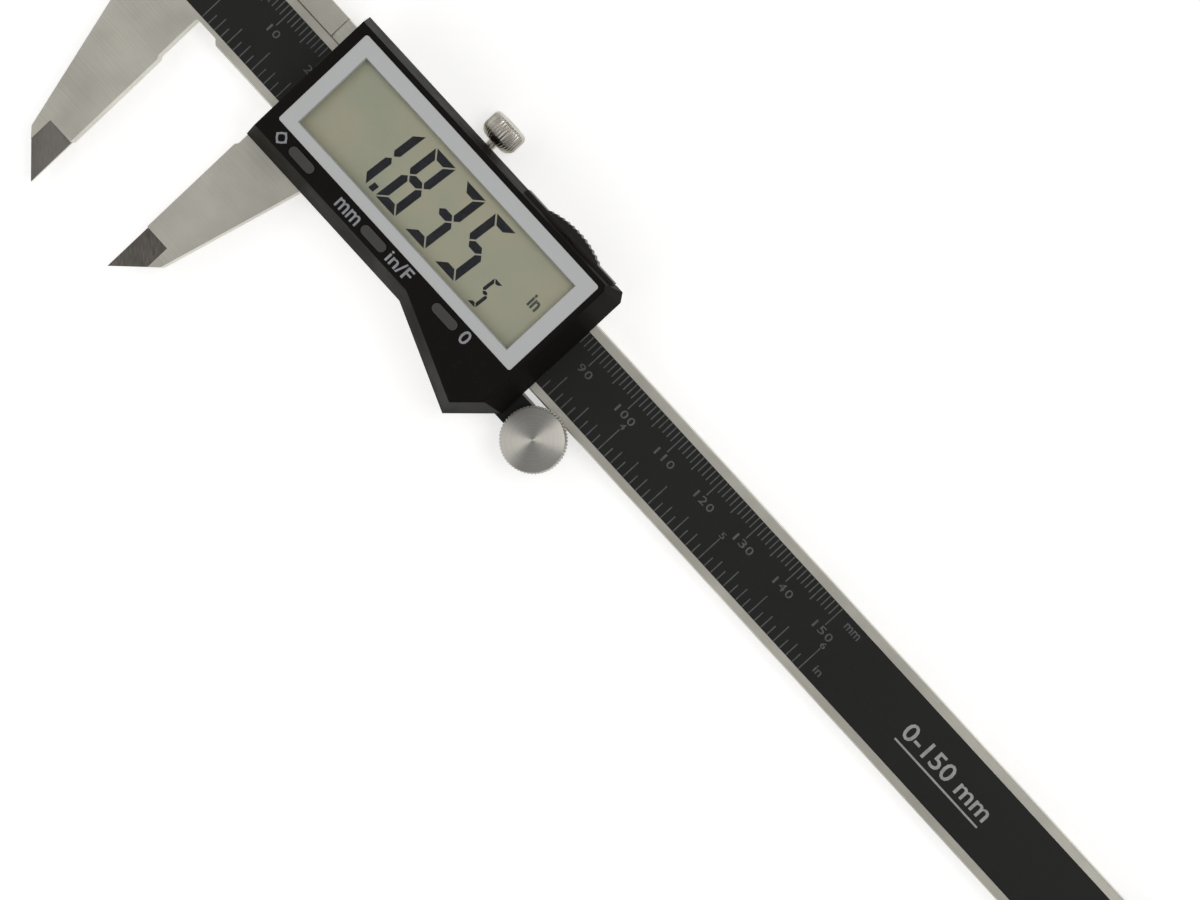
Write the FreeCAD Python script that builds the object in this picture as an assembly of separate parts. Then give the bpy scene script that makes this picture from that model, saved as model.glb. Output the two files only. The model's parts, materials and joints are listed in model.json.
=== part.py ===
import FreeCAD, Part
import math
import os

# A 150 mm digital caliper, drawn 20 mm open, one STEP per piece, in millimetres.
#
# Drawing axes: x runs along the beam from the fixed jaw's measuring face, y runs across it from the
# beam's centreline towards the inside blades, and z runs from the beam's back face to the display.
# Pieces of the slider are drawn with the jaws closed and then moved by OPENING. Every piece is stored
# with the origin under the middle of the whole caliper's box, at the height it lies on.

V = FreeCAD.Vector

# ---- driving dimensions ----------------------------------------------------------------------
OPENING = 20.0          # jaw opening as drawn
BEAM_W = 16.0
BEAM_T = 3.5
BEAM_END = 226.0        # right end of the beam
HEAD_LEFT = -16.5       # left edge of the fixed head
JAW_REACH = 48.0        # jaw tips below the centreline
BLADE_REACH = 24.5      # inside blade tips above the centreline
SLIDE_GAP = 0.03        # sliding fit of slider and beam, each side
FACE_GAP = 0.1          # slider plates clear of the beam's faces
BACK_T = 1.2            # back plate
SEAT_Z = BEAM_T + FACE_GAP      # top of the rails, where the front plate starts
PLATE_T = 1.0           # front plate of the slider frame
COVER_Z = SEAT_Z + PLATE_T      # cover starts on the front plate
COVER_TOP = 13.2
WALL = 1.3              # cover walls
CEILING = 11.4          # underside of the cover's front wall

HALF_W = BEAM_W / 2
REST_Z = -FACE_GAP - BACK_T     # the caliper lies on the back plate here
BACK_Z = -FACE_GAP              # top of the back plate, back of the rails

# ---- beam and outside jaws --------------------------------------------------------------------
FACE_START = -17.0      # measuring faces run from here to the tips
FACE_RELIEF = 0.4       # faces set back above that
UNDERCUT_Y = -7.15      # beam's lower edge beside the fixed face
TIP_BEVEL = (6.8, -41.1)
JAW_ROOT_X = 14.0       # width of the outside jaws at the slider's lower edge
GRIND_W = 5.2           # ground tips: width, upper end, steel left at the face
GRIND_TOP = -38.0
GRIND_EDGE_T = 0.9
POCKET_W = 12.7         # printed scale's pocket
POCKET_X = (-8.0, 221.0)
STATOR_T = 0.8
LABEL_T = 0.15
GROOVE_W = 3.2          # depth rod's groove in the beam's back
GROOVE_D = 1.5
GROOVE_X = 46.0
STOP_X = 216.2          # end stop on the beam's back
STOP_W = 14.8
STOP_T = 1.1

# ---- inside blades ----------------------------------------------------------------------------
BLADE_EDGE = -9.0       # both measuring edges with the jaws closed
BLADE_W = 6.3
BLADE_TIP_W = 1.3
BLADE_FOOT_Y = 13.0     # measuring edges start here
BLADE_SPLIT = 1.75      # the blades pass each other at this height
BLADE_GAP = 0.05
BLADE_BEVEL = 2.4

# ---- slider frame -----------------------------------------------------------------------------
RAIL_TOP_Y = 12.4
RAIL_LOW_Y = -12.6
RAIL_END_X = 64.0
LOW_RAIL_END_X = 57.6
GIB_Y = (8.08, 8.85)    # brass gib between the top rail and the beam
GIB_X = (3.1, 60.9)
NOSE_TOP_Y = 12.3
NOSE_TAB_X = -1.75      # the nose steps up to the front plate here
RELIEF_W = 0.45         # grinding relief along that step
RELIEF_D = 0.6
WINDOW_X = (5.0, 60.0)  # opening of the front plate over the beam's scale
WINDOW_HALF = 9.7
PLATE_INSET = 0.15      # the plate ends this far inside the cover's edge
WIPER_X = (2.4, 61.9)
WIPER_T = 1.0
WIPER_Y = (-7.9, 7.9)

# ---- cover ------------------------------------------------------------------------------------
# Outline at the plate, anticlockwise, and how far each side leans in up to the front face. A side
# runs from its point to the next one.
COVER_OUTLINE = [(0.35, -14.15), (39.6, -14.15), (58.9, -21.8), (65.9, -14.25),
                 (65.9, 13.7), (64.8, 15.2), (0.35, 15.2)]
COVER_LEANS = [3.1, 3.1, 2.1, 2.8, 2.4, 0.8, 1.3]
# height, share of the lean, and a further inset all round
COVER_RINGS = [(COVER_Z, 0.0, 0.0), (12.85, 0.95, 0.0), (COVER_TOP, 1.0, 0.3)]
CAVITY_RINGS = [(COVER_Z, 0.0, WALL), (CEILING, 0.7, WALL)]
BOSS_HALF = 1.4         # square screw bosses
BOSS_LOW_TOP = 9.2      # the upper two stop under the display

# ---- display ----------------------------------------------------------------------------------
BEZEL_X = (3.65, 62.15)
BEZEL_Y = (-7.5, 13.4)
BEZEL_Z = (11.9, 13.1)
VIEW_X = (6.75, 58.95)  # visible part of the display
VIEW_Y = (-5.1, 10.3)
VIEW_SLOPE = 0.35
PANEL_X = (4.9, 60.7)
PANEL_Y = (-7.7, 12.0)
PANEL_Z = (9.4, CEILING)
STRIP_Y = (-7.6, -6.2)
BOARD_T = 0.9
BOARD_TOP = SEAT_Z + BOARD_T
BOARD_NOTCH = 1.6
CHIP_X = (15.0, 25.0)
CHIP_Y = (-3.0, 5.0)
CHIP_Z = (BOARD_TOP + 0.15, BOARD_TOP + 1.1)
LEADS = 6               # leads on each long side of the chip
LEAD_PITCH = 1.5
LEAD_W = 0.6
LEAD_L = 1.1
LEAD_T = 0.35

# ---- buttons ----------------------------------------------------------------------------------
BUTTON_Y = -9.33
BUTTON_X = {"power_button": 11.67, "unit_button": 29.9, "zero_button": 47.93}
BUTTON_L = 5.7
BUTTON_W = 1.8
BUTTON_GAP = 0.1
BUTTON_TOP = COVER_TOP + 0.2
BUTTON_TRAVEL = 0.6
FLANGE_L = 6.8          # flange that keeps the button in the cover
FLANGE_W = 2.4
FLANGE_T = 0.5
STEM_L = 2.4
STEM_Y = (-9.6, -8.2)
SWITCH_L = 3.8
SWITCH_Y = (-9.5, -7.8)
SWITCH_T = 1.0
PLUNGER_L = 1.8
PLUNGER_Y = (-9.2, -8.2)
PLUNGER_T = 0.2

# ---- battery tray -----------------------------------------------------------------------------
TRAY_X = (41.2, 63.0)
TRAY_Y = (-5.8, 15.45)
TRAY_Z = (4.7, 8.8)
TRAY_GAP = 0.1
TRAY_FLOOR = 0.5
CELL_R = 10.0
CELL_T = 3.2
CELL_AT = (52.1, 4.8)
BULGE_R = 17.1
BULGE_AT = (52.5, -0.2)
BULGE_INSET = 0.2       # bulge is lower than the tray by this above and below
GRIP_RIDGES = 13
GRIP_DEPTH = 0.25
CONTACT_GAP = ((48.0, 56.0), (1.0, 8.0))    # opening in the tray's floor
LEAF_X = (47.0, 57.0)   # contact leaf and the slit in it
LEAF_Y = (3.2, 6.4)
LEAF_T = 0.14
LEAF_SLIT = ((49.0, 54.0), (4.5, 5.1))

# ---- lock screw and thumb roller --------------------------------------------------------------
LOCK_X = 30.5
LOCK_Z = 2.35
LOCK_SHANK_R = 1.0
LOCK_HEAD_R = 3.6
LOCK_HEAD_Y = (16.1, 20.7)
LOCK_KNURLS = 24
LOCK_CHAMFERS = (1.3, 0.8)      # at the foot and the top of the head
ROLLER_AT = (73.0, -13.2)
ROLLER_R = 5.9
ROLLER_DRUM_R = -ROLLER_AT[1] - HALF_W - SLIDE_GAP
ROLLER_Z = (0.2, SEAT_Z, 6.8)   # drum's foot, flange's back and front
ROLLER_KNURLS = 40
ROLLER_CHAMFER = 0.45
AXLE_R = 1.0
AXLE_TOP = 5.0
RUN_GAP = 0.04          # running fit of screws and axles in their bores
ARM_X = 58.4
ARM_Y = (-15.3, -9.5)
ARM_TOP = 3.3
ARM_CLEARANCE = 0.45    # arm's hollow round the drum
ARM_FOOT_R = 4.2
AXLE_CHAMFER = 0.2
SPRING_Y = (-12.5, -9.2)
SPRING_Z = (0.2, 3.1)
SPRING_T = 0.2
SPRING_BOW = 0.44

# ---- fasteners --------------------------------------------------------------------------------
SUNK_HEAD_T = 0.75
BODY_SCREWS = [(3.9, 10.8), (37.0, 10.8), (3.9, -10.8), (54.5, -10.8)]
BODY_HEAD_R, BODY_SHANK_R, BODY_LENGTH = 1.45, 0.8, 9.0
SET_SCREW_X = (9.5, 54.0)
SET_SCREW_R = 0.97
SET_BORE_R = 1.0
SET_SCREW_L = 2.9
SET_SLOT_W = 0.3
SET_SLOT_D = 0.45
STOP_SCREW_Y = (-5.0, 5.0)
STOP_HEAD_R, STOP_SHANK_R, STOP_LENGTH = 1.7, 0.95, 3.2
SMALL_HEAD_R, SMALL_SHANK_R = 1.4, 0.8
ROD_SCREW_X = 56.0
ROD_SCREW_LENGTH = 2.2
ARM_SCREW_AT = (61.2, -10.9)
ARM_SCREW_LENGTH = 3.4

ROD_X = (50.0, BEAM_END)    # depth rod with the jaws closed
ROD_W = 3.0
ROD_T = 1.3

ROW_ORIGIN = V((HEAD_LEFT + BEAM_END + OPENING) / 2, (BLADE_REACH - JAW_REACH) / 2, REST_Z)
SLIDER_SHIFT = V(OPENING, 0, 0)


# ---- shapes -----------------------------------------------------------------------------------
def box(x, y, z):
    """Box between two values on each axis."""
    return Part.makeBox(x[1] - x[0], y[1] - y[0], z[1] - z[0], V(x[0], y[0], z[0]))


def widened(span, by):
    """A span moved outwards at both ends."""
    return (span[0] - by, span[1] + by)


def rod(centre, axis, radius, length):
    """Cylinder from a centre point along an axis."""
    return Part.makeCylinder(radius, length, V(*centre), V(*axis))


def prism(steps, z):
    """Extrude a closed outline. A step is a corner, or a (middle, end) pair of points for an arc."""
    ends = [step[1] if isinstance(step[0], tuple) else step for step in steps]
    edges = []
    for before, step, end in zip([ends[-1]] + ends[:-1], steps, ends):
        start = V(*before, z[0])
        if isinstance(step[0], tuple):
            edges.append(Part.Arc(start, V(*step[0], z[0]), V(*end, z[0])).toShape())
        else:
            edges.append(Part.LineSegment(start, V(*end, z[0])).toShape())
    return Part.Face(Part.Wire(edges)).extrude(V(0, 0, z[1] - z[0]))


def mirrored(steps, x):
    """Mirror an outline about a line of constant x."""
    turned = []
    for step in steps:
        if isinstance(step[0], tuple):
            turned.append(tuple((2 * x - point[0], point[1]) for point in step))
        else:
            turned.append((2 * x - step[0], step[1]))
    return turned


def rounded_box(x, y, z, radius):
    """Box whose upright edges are rounded."""
    block = box(x, y, z)
    upright = [e for e in block.Edges if abs(e.tangentAt(e.FirstParameter).z) > 0.99]
    return block.makeFillet(radius, upright)


def slot(centre, length, width, z):
    """Upright block with round ends, lying along x."""
    run = (length - width) / 2
    x, y = centre
    half = width / 2
    return prism([(x + run, y - half), ((x + run + half, y), (x + run, y + half)),
                  (x - run, y + half), ((x - run - half, y), (x - run, y - half))], z)


def stacked(loops):
    """Solid between the first and the last of a stack of closed loops with matching, parallel sides."""
    faces = [Part.Face(Part.makePolygon(loop + loop[:1])) for loop in (loops[0], loops[-1])]
    for low, high in zip(loops, loops[1:]):
        for i in range(len(low)):
            j = (i + 1) % len(low)
            faces.append(Part.Face(Part.makePolygon([low[i], low[j], high[j], high[i], low[i]])))
    solid = Part.Solid(Part.Shell(faces))
    return solid if solid.Volume > 0 else solid.reversed()


def knurled(centre, count, depth, rings):
    """Upright block with a straight knurl. A ring is (radius, height); depth is a share of the radius."""
    loops = []
    for radius, z in rings:
        loop = []
        for i in range(2 * count):
            r = radius * (1 - depth * (i % 2))
            angle = math.pi * i / count
            loop.append(V(centre[0] + r * math.cos(angle), centre[1] + r * math.sin(angle), z))
        loops.append(loop)
    return stacked(loops)


def inset_outline(outline, insets):
    """Move each side of an anticlockwise outline inwards by its own inset."""
    sides = []
    for (x0, y0), (x1, y1), inset in zip(outline, outline[1:] + outline[:1], insets):
        length = math.hypot(x1 - x0, y1 - y0)
        ux, uy = (x1 - x0) / length, (y1 - y0) / length
        sides.append((x0 - uy * inset, y0 + ux * inset, ux, uy))
    corners = []
    for (ax, ay, aux, auy), (bx, by, bux, buy) in zip(sides[-1:] + sides[:-1], sides):
        along = ((bx - ax) * buy - (by - ay) * bux) / (aux * buy - auy * bux)
        corners.append((ax + along * aux, ay + along * auy))
    return corners


def leaning_block(outline, leans, rings):
    """Block with flat sides that lean in. A ring is (height, share of the leans, further inset)."""
    loops = []
    for z, share, extra in rings:
        corners = inset_outline(outline, [share * lean + extra for lean in leans])
        loops.append([V(x, y, z) for x, y in corners])
    return stacked(loops)


def sunk_screw(x, y, z, head_r, shank_r, length, grow=0.0):
    """Screw driven upwards from z with a flush cheese head; grow makes the space for one."""
    head = rod((x, y, z), (0, 0, 1), head_r + grow, SUNK_HEAD_T + grow)
    return head.fuse(rod((x, y, z), (0, 0, 1), shank_r + grow, length + grow))


def screw_holes(places):
    """Spaces for the screws at some places."""
    return [sunk_screw(*place, grow=RUN_GAP / 2) for place in places]


# ---- beam -------------------------------------------------------------------------------------
def outside_jaw_grind(face_x, side):
    """Wedges that thin a jaw's tip towards its measuring face, on its front and back."""
    outer = face_x + side * GRIND_W
    depth = (BEAM_T - GRIND_EDGE_T) / 2
    start = 0.25
    wedges = []
    for skin, inward in ((BEAM_T, -1), (0.0, 1)):
        section = [(outer, skin - inward), (outer, skin + inward * start), (face_x, skin + inward * depth),
                   (face_x - side, skin + inward * depth), (face_x - side, skin - inward)]
        points = [V(x, GRIND_TOP, z) for x, z in section]
        face = Part.Face(Part.makePolygon(points + points[:1]))
        wedges.append(face.extrude(V(0, GRIND_TOP - JAW_REACH, 0)))
    return wedges


def inside_blade_outline(foot_y):
    """Fixed inside blade: straight measuring edge on its left, hollow back on its right."""
    right = BLADE_EDGE + BLADE_W
    tip = BLADE_EDGE + BLADE_TIP_W
    return [(BLADE_EDGE + 0.5, foot_y), (right, foot_y), (right, BLADE_FOOT_Y - 1.5),
            ((right - 2.9, BLADE_FOOT_Y + 3.2), (tip + 0.5, BLADE_REACH - 2.2)),
            (tip, BLADE_REACH), (BLADE_EDGE, BLADE_REACH - 0.6), (BLADE_EDGE, BLADE_FOOT_Y),
            (BLADE_EDGE + 0.5, BLADE_FOOT_Y - 0.5)]


def blade_bevel(side, edge_z, back_z):
    """Wedge that grinds a blade to a knife edge at edge_z; side is +1 where the blade lies to the right."""
    land_z = edge_z + (back_z - edge_z) * 0.2
    section = [(BLADE_EDGE - side, edge_z), (BLADE_EDGE, land_z), (BLADE_EDGE + side * BLADE_BEVEL, back_z),
               (BLADE_EDGE - side, back_z)]
    points = [V(x, BLADE_FOOT_Y, z) for x, z in section]
    face = Part.Face(Part.makePolygon(points + points[:1]))
    return face.extrude(V(0, BLADE_REACH, 0))


def beam():
    """Beam, fixed head, fixed outside jaw and fixed inside blade, ground from one strip."""
    bevel_x, bevel_y = TIP_BEVEL
    outline = [(BEAM_END, -HALF_W), (BEAM_END, HALF_W), (HEAD_LEFT + 1.5, HALF_W),
               ((HEAD_LEFT + 0.44, HALF_W - 0.44), (HEAD_LEFT, HALF_W - 1.5)), (HEAD_LEFT, -2.0),
               ((HEAD_LEFT + 0.38, -5.58), (-JAW_ROOT_X - 1.0, -9.0)), (-bevel_x, bevel_y), (0, -JAW_REACH),
               (0, FACE_START), (-FACE_RELIEF, FACE_START + 0.6), (-FACE_RELIEF, UNDERCUT_Y - 0.5),
               ((-0.25, UNDERCUT_Y - 0.15), (0.1, UNDERCUT_Y)), (4.4, UNDERCUT_Y), (5.3, -HALF_W)]
    steel = prism(outline, (0, BEAM_T))
    long_edges = [e for e in steel.Edges if e.Length > 150 and e.BoundBox.ZLength < 0.01]
    steel = steel.makeChamfer(0.25, long_edges)
    blade = prism(inside_blade_outline(HALF_W - 0.5), (0, BLADE_SPLIT - BLADE_GAP))
    steel = steel.fuse(blade.cut(blade_bevel(1, BLADE_SPLIT - BLADE_GAP, 0)))
    pocket = box(POCKET_X, (-POCKET_W / 2, POCKET_W / 2), (BEAM_T - 1.0, BEAM_T + 1))
    groove = box((GROOVE_X, BEAM_END + 1), (-GROOVE_W / 2, GROOVE_W / 2), (-1, GROOVE_D))
    cuts = [pocket, groove] + outside_jaw_grind(0, -1) + screw_holes(end_stop_screw_places())
    return steel.cut(cuts).removeSplitter()


def scale_strips():
    """The glass-epoxy stator strip and the printed label over it, both lying in the beam's pocket."""
    half = POCKET_W / 2 - 0.02
    foot = BEAM_T - 1.0
    x = (POCKET_X[0] + 0.02, POCKET_X[1] - 0.02)
    stator = box(x, (-half, half), (foot, foot + STATOR_T))
    label = box(x, (-half, half), (foot + STATOR_T, foot + STATOR_T + LABEL_T))
    return stator, label


def end_stop_screw_places():
    """Arguments of the two screws of the end stop."""
    middle = (STOP_X + BEAM_END) / 2
    return [(middle, y, -STOP_T, STOP_HEAD_R, STOP_SHANK_R, STOP_LENGTH) for y in STOP_SCREW_Y]


def end_stop():
    """Plate across the beam's end that the back plate runs against."""
    plate = box((STOP_X, BEAM_END - 0.3), (-STOP_W / 2, STOP_W / 2), (-STOP_T, 0))
    return plate.cut(screw_holes(end_stop_screw_places()))


# ---- slider frame -----------------------------------------------------------------------------
def body_screw_places():
    """Arguments of the four long screws through back plate and rails into the cover's bosses."""
    return [(x, y, REST_Z, BODY_HEAD_R, BODY_SHANK_R, BODY_LENGTH) for x, y in BODY_SCREWS]


def slider_frame():
    """Rails, front plate, nose, sliding outside jaw and sliding inside blade, one steel piece."""
    rail_z = (BACK_Z, SEAT_Z)
    low_edge = -HALF_W - SLIDE_GAP
    low_rail = box((0.4, LOW_RAIL_END_X), (RAIL_LOW_Y, low_edge), rail_z)
    top_rail = box((0, RAIL_END_X), (HALF_W + SLIDE_GAP, RAIL_TOP_Y), rail_z)
    gib_seat = box((GIB_X[0] - 0.1, GIB_X[1] + 0.1), (0, GIB_Y[1] + 0.05), rail_z)
    top_rail = top_rail.cut(gib_seat)

    bevel_x, bevel_y = TIP_BEVEL
    jaw = prism([(FACE_RELIEF, low_edge), (FACE_RELIEF, FACE_START + 0.6), (0, FACE_START), (0, -JAW_REACH),
                 (bevel_x, bevel_y), (JAW_ROOT_X - 0.1, RAIL_LOW_Y - 1.2),
                 ((JAW_ROOT_X + 0.2, RAIL_LOW_Y - 0.3), (JAW_ROOT_X + 1.2, RAIL_LOW_Y)),
                 (JAW_ROOT_X + 1.2, low_edge)], (0, BEAM_T))
    jaw = jaw.cut(outside_jaw_grind(0, 1))

    nose = box((HEAD_LEFT, 0.5), (HALF_W + 0.05, NOSE_TOP_Y), (BLADE_SPLIT + BLADE_GAP, BEAM_T))
    blade_outline = mirrored(inside_blade_outline(NOSE_TOP_Y - 0.5), BLADE_EDGE)
    blade = prism(blade_outline, (BLADE_SPLIT + BLADE_GAP, BEAM_T))
    blade = blade.cut(blade_bevel(-1, BLADE_SPLIT + BLADE_GAP, BEAM_T))

    relief_x = (NOSE_TAB_X - RELIEF_W, NOSE_TAB_X)
    nose = nose.cut(box(relief_x, (HALF_W, NOSE_TOP_Y + 1), (BEAM_T - RELIEF_D, BEAM_T + 1)))

    plate = prism(inset_outline(COVER_OUTLINE, [PLATE_INSET] * len(COVER_OUTLINE)), (SEAT_Z, COVER_Z))
    tab = box((NOSE_TAB_X, 2.0), (8.7, NOSE_TOP_Y), (BEAM_T - 0.2, COVER_Z))
    openings = [box(WINDOW_X, (-WINDOW_HALF, WINDOW_HALF), (SEAT_Z, COVER_Z))]
    for x in WIPER_X:
        openings.append(box(widened((x, x + WIPER_T), 0.05), widened(WIPER_Y, 0.05), (SEAT_Z, COVER_Z)))
    plate = plate.cut(openings)

    steel = low_rail.fuse([top_rail, jaw, nose, blade, plate, tab])
    bores = [rod((LOCK_X, HALF_W, LOCK_Z), (0, 1, 0), LOCK_SHANK_R + RUN_GAP, RAIL_TOP_Y)]
    bores += [rod((x, HALF_W, BEAM_T / 2), (0, 1, 0), SET_BORE_R, RAIL_TOP_Y) for x in SET_SCREW_X]
    bores += screw_holes(body_screw_places())
    return steel.cut(bores).removeSplitter()


def back_plate():
    """Cover plate behind the rails: the caliper lies on it."""
    plate = rounded_box((0, RAIL_END_X), (RAIL_LOW_Y, RAIL_TOP_Y), (REST_Z, BACK_Z), 2.0)
    return plate.cut(screw_holes(body_screw_places() + [rod_screw_place(), arm_screw_place()]))


def rod_screw_place():
    """Arguments of the depth rod's screw."""
    return (ROD_SCREW_X, 0, REST_Z, SMALL_HEAD_R, SMALL_SHANK_R, ROD_SCREW_LENGTH)


def arm_screw_place():
    """Arguments of the roller arm's screw."""
    return (*ARM_SCREW_AT, REST_Z, SMALL_HEAD_R, SMALL_SHANK_R, ARM_SCREW_LENGTH)


def gib_strip():
    """Brass strip between the top rail and the beam that takes up the play."""
    return box(GIB_X, GIB_Y, (0, BEAM_T))


def gib_set_screws():
    """Slotted set screws in the top rail that press on the gib."""
    screws = []
    foot = GIB_Y[1] + 0.02
    top = foot + SET_SCREW_L
    for x in SET_SCREW_X:
        screw = rod((x, foot, BEAM_T / 2), (0, 1, 0), SET_SCREW_R, SET_SCREW_L)
        slit_z = widened((BEAM_T / 2, BEAM_T / 2), SET_SLOT_W / 2)
        screws.append(screw.cut(box((x - 1, x + 1), (top - SET_SLOT_D, top + 1), slit_z)))
    return screws


def beam_wipers():
    """Felt strips at both ends of the slider that keep grit off the scale."""
    return [box((x, x + WIPER_T), WIPER_Y, (BEAM_T + 0.05, COVER_Z)) for x in WIPER_X]


def depth_rod():
    """Blade in the beam's back groove, screwed to the back plate at its left end."""
    blade = box(ROD_X, (-ROD_W / 2, ROD_W / 2), (FACE_GAP, FACE_GAP + ROD_T))
    foot = box((ROD_X[0], ROD_X[0] + 10), (-ROD_W / 2, ROD_W / 2), (BACK_Z, FACE_GAP))
    notch = box((ROD_X[1] - 4, ROD_X[1] + 1), (0.7, ROD_W), (0, 2))
    return blade.fuse(foot).cut([notch] + screw_holes([rod_screw_place()])).removeSplitter()


# ---- cover and display ------------------------------------------------------------------------
def front_cover():
    """Moulded shell: leaning sides, finger lobe, display opening, button holes, tray slot and bosses."""
    block = leaning_block(COVER_OUTLINE, COVER_LEANS, COVER_RINGS)
    shell = block.cut(leaning_block(COVER_OUTLINE, COVER_LEANS, CAVITY_RINGS))
    bosses = []
    for x, y in BODY_SCREWS:
        under_display = y > 0
        top = BOSS_LOW_TOP if under_display else CEILING
        wall_y = TRAY_Y[1] - WALL if under_display else y + BOSS_HALF
        boss = box((x - BOSS_HALF, x + BOSS_HALF), (y - BOSS_HALF, wall_y), (COVER_Z, top))
        bosses.append(boss.common(block))
    shell = shell.fuse(bosses)
    through = (CEILING - 1, COVER_TOP + 1)
    pocket = box(widened(BEZEL_X, 0.05), widened(BEZEL_Y, 0.05), (BEZEL_Z[0], COVER_TOP + 1))
    opening = box(widened(VIEW_X, 1.2), widened(VIEW_Y, 1.2), through)
    keys = [slot((x, BUTTON_Y), BUTTON_L + 2 * BUTTON_GAP, BUTTON_W + 2 * BUTTON_GAP, through)
            for x in BUTTON_X.values()]
    slot_z = (COVER_Z, TRAY_Z[1] + TRAY_GAP)
    tray_slot = box(widened(TRAY_X, TRAY_GAP), (TRAY_Y[1] - 3, TRAY_Y[1] + 3), slot_z)
    return shell.cut([pocket, opening, tray_slot] + keys + screw_holes(body_screw_places())).removeSplitter()


def display_bezel():
    """Frame round the display with a sloping inner edge and a rebate for the window behind it."""
    frame = rounded_box(BEZEL_X, BEZEL_Y, BEZEL_Z, 0.5)
    (x0, x1), (y0, y1) = widened(VIEW_X, VIEW_SLOPE), widened(VIEW_Y, VIEW_SLOPE)
    view = leaning_block([(x0, y0), (x1, y0), (x1, y1), (x0, y1)], [VIEW_SLOPE] * 4,
                         [(BEZEL_Z[0] - 1, 1, 0), (BEZEL_Z[0], 1, 0), (BEZEL_Z[1] + 0.01, 0, 0)])
    rebate = box(widened(VIEW_X, 0.85), widened(VIEW_Y, 0.85), (BEZEL_Z[0] - 1, BEZEL_Z[0] + 0.6))
    return frame.cut([view, rebate])


def display_window():
    """Clear plate in the bezel's rebate."""
    return box(widened(VIEW_X, 0.8), widened(VIEW_Y, 0.8), (BEZEL_Z[0], BEZEL_Z[0] + 0.58))


def lcd_panel():
    """Two glasses, the rear one longer so that its contacts face the connector strip."""
    middle = (PANEL_Z[0] + PANEL_Z[1]) / 2
    rear = box(PANEL_X, PANEL_Y, (PANEL_Z[0], middle))
    return rear.fuse(box(PANEL_X, (PANEL_Y[0] + 1.9, PANEL_Y[1]), (middle, PANEL_Z[1]))).removeSplitter()


def circuit_board():
    """Board over the beam's scale, resting on the rails, with a notch at each corner."""
    half = WINDOW_HALF - 0.1
    board = box(widened(WINDOW_X, -0.1), (-half, half), (SEAT_Z, BOARD_TOP))
    notches = []
    for x in WINDOW_X:
        for y in (-half, half):
            across = widened((y, y), BOARD_NOTCH)
            notches.append(box(widened((x, x), BOARD_NOTCH), across, (0, BOARD_TOP + 1)))
    return board.cut(notches)


def controller_chip():
    """Flat chip package with a lead row on each side."""
    body = box(CHIP_X, CHIP_Y, CHIP_Z)
    first = (CHIP_X[0] + CHIP_X[1] - LEAD_PITCH * (LEADS - 1) - LEAD_W) / 2
    lead_z = (BOARD_TOP, BOARD_TOP + LEAD_T)
    leads = []
    for i in range(LEADS):
        x = first + LEAD_PITCH * i
        for y in ((CHIP_Y[0] - LEAD_L + 0.1, CHIP_Y[0] + 0.1), (CHIP_Y[1] - 0.1, CHIP_Y[1] + LEAD_L - 0.1)):
            leads.append(box((x, x + LEAD_W), y, lead_z))
    return body.fuse(leads).removeSplitter()


def button_switches():
    """One small tact switch on the board's edge under each button."""
    switches = []
    for x in BUTTON_X.values():
        middle = (x, x)
        case = box(widened(middle, SWITCH_L / 2), SWITCH_Y, (BOARD_TOP, BOARD_TOP + SWITCH_T - PLUNGER_T))
        plunger = box(widened(middle, PLUNGER_L / 2), PLUNGER_Y, (BOARD_TOP, BOARD_TOP + SWITCH_T))
        switches.append(case.fuse(plunger))
    return switches


def button(x):
    """Button cap with a flange that keeps it in the cover and a stem down to its switch."""
    middle = (x, x)
    flange_z = (CEILING - 0.05 - FLANGE_T, CEILING - 0.05)
    stem_foot = BOARD_TOP + SWITCH_T + BUTTON_TRAVEL + 0.1
    cap = slot((x, BUTTON_Y), BUTTON_L, BUTTON_W, (flange_z[0], BUTTON_TOP))
    flange = box(widened(middle, FLANGE_L / 2), widened((BUTTON_Y, BUTTON_Y), FLANGE_W / 2), flange_z)
    stem = box(widened(middle, STEM_L / 2), STEM_Y, (stem_foot, flange_z[1]))
    return cap.fuse([flange, stem]).removeSplitter()


# ---- battery ----------------------------------------------------------------------------------
def battery_tray():
    """Drawer with a round pocket for the cell and a ridged thumb bulge on its outer end."""
    body = box(TRAY_X, TRAY_Y, TRAY_Z)
    x, y = BULGE_AT
    half_angle = math.acos((TRAY_Y[1] - y) / BULGE_R)
    corners = [(x, TRAY_Y[1] - 1)]
    for i in range(2 * GRIP_RIDGES + 1):
        angle = math.pi / 2 + half_angle * (1 - i / GRIP_RIDGES)
        r = BULGE_R - GRIP_DEPTH * (i % 2)
        corners.append((x + r * math.cos(angle), y + r * math.sin(angle)))
    bulge = prism(corners, widened(TRAY_Z, -BULGE_INSET))
    pocket = rod((*CELL_AT, TRAY_Z[0] + TRAY_FLOOR), (0, 0, 1), CELL_R + 0.1, TRAY_Z[1])
    contact_gap = box(*CONTACT_GAP, (TRAY_Z[0] - 1, TRAY_Z[1]))
    return body.fuse(bulge).cut([pocket, contact_gap]).removeSplitter()


def coin_cell():
    """Flat round cell in the tray's pocket."""
    return rod((*CELL_AT, TRAY_Z[0] + TRAY_FLOOR), (0, 0, 1), CELL_R, CELL_T)


def battery_contact():
    """Leaf on the board under the tray's floor."""
    leaf = box(LEAF_X, LEAF_Y, (BOARD_TOP, BOARD_TOP + LEAF_T))
    return leaf.cut(box(*LEAF_SLIT, (BOARD_TOP - 1, BOARD_TOP + 1)))


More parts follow.
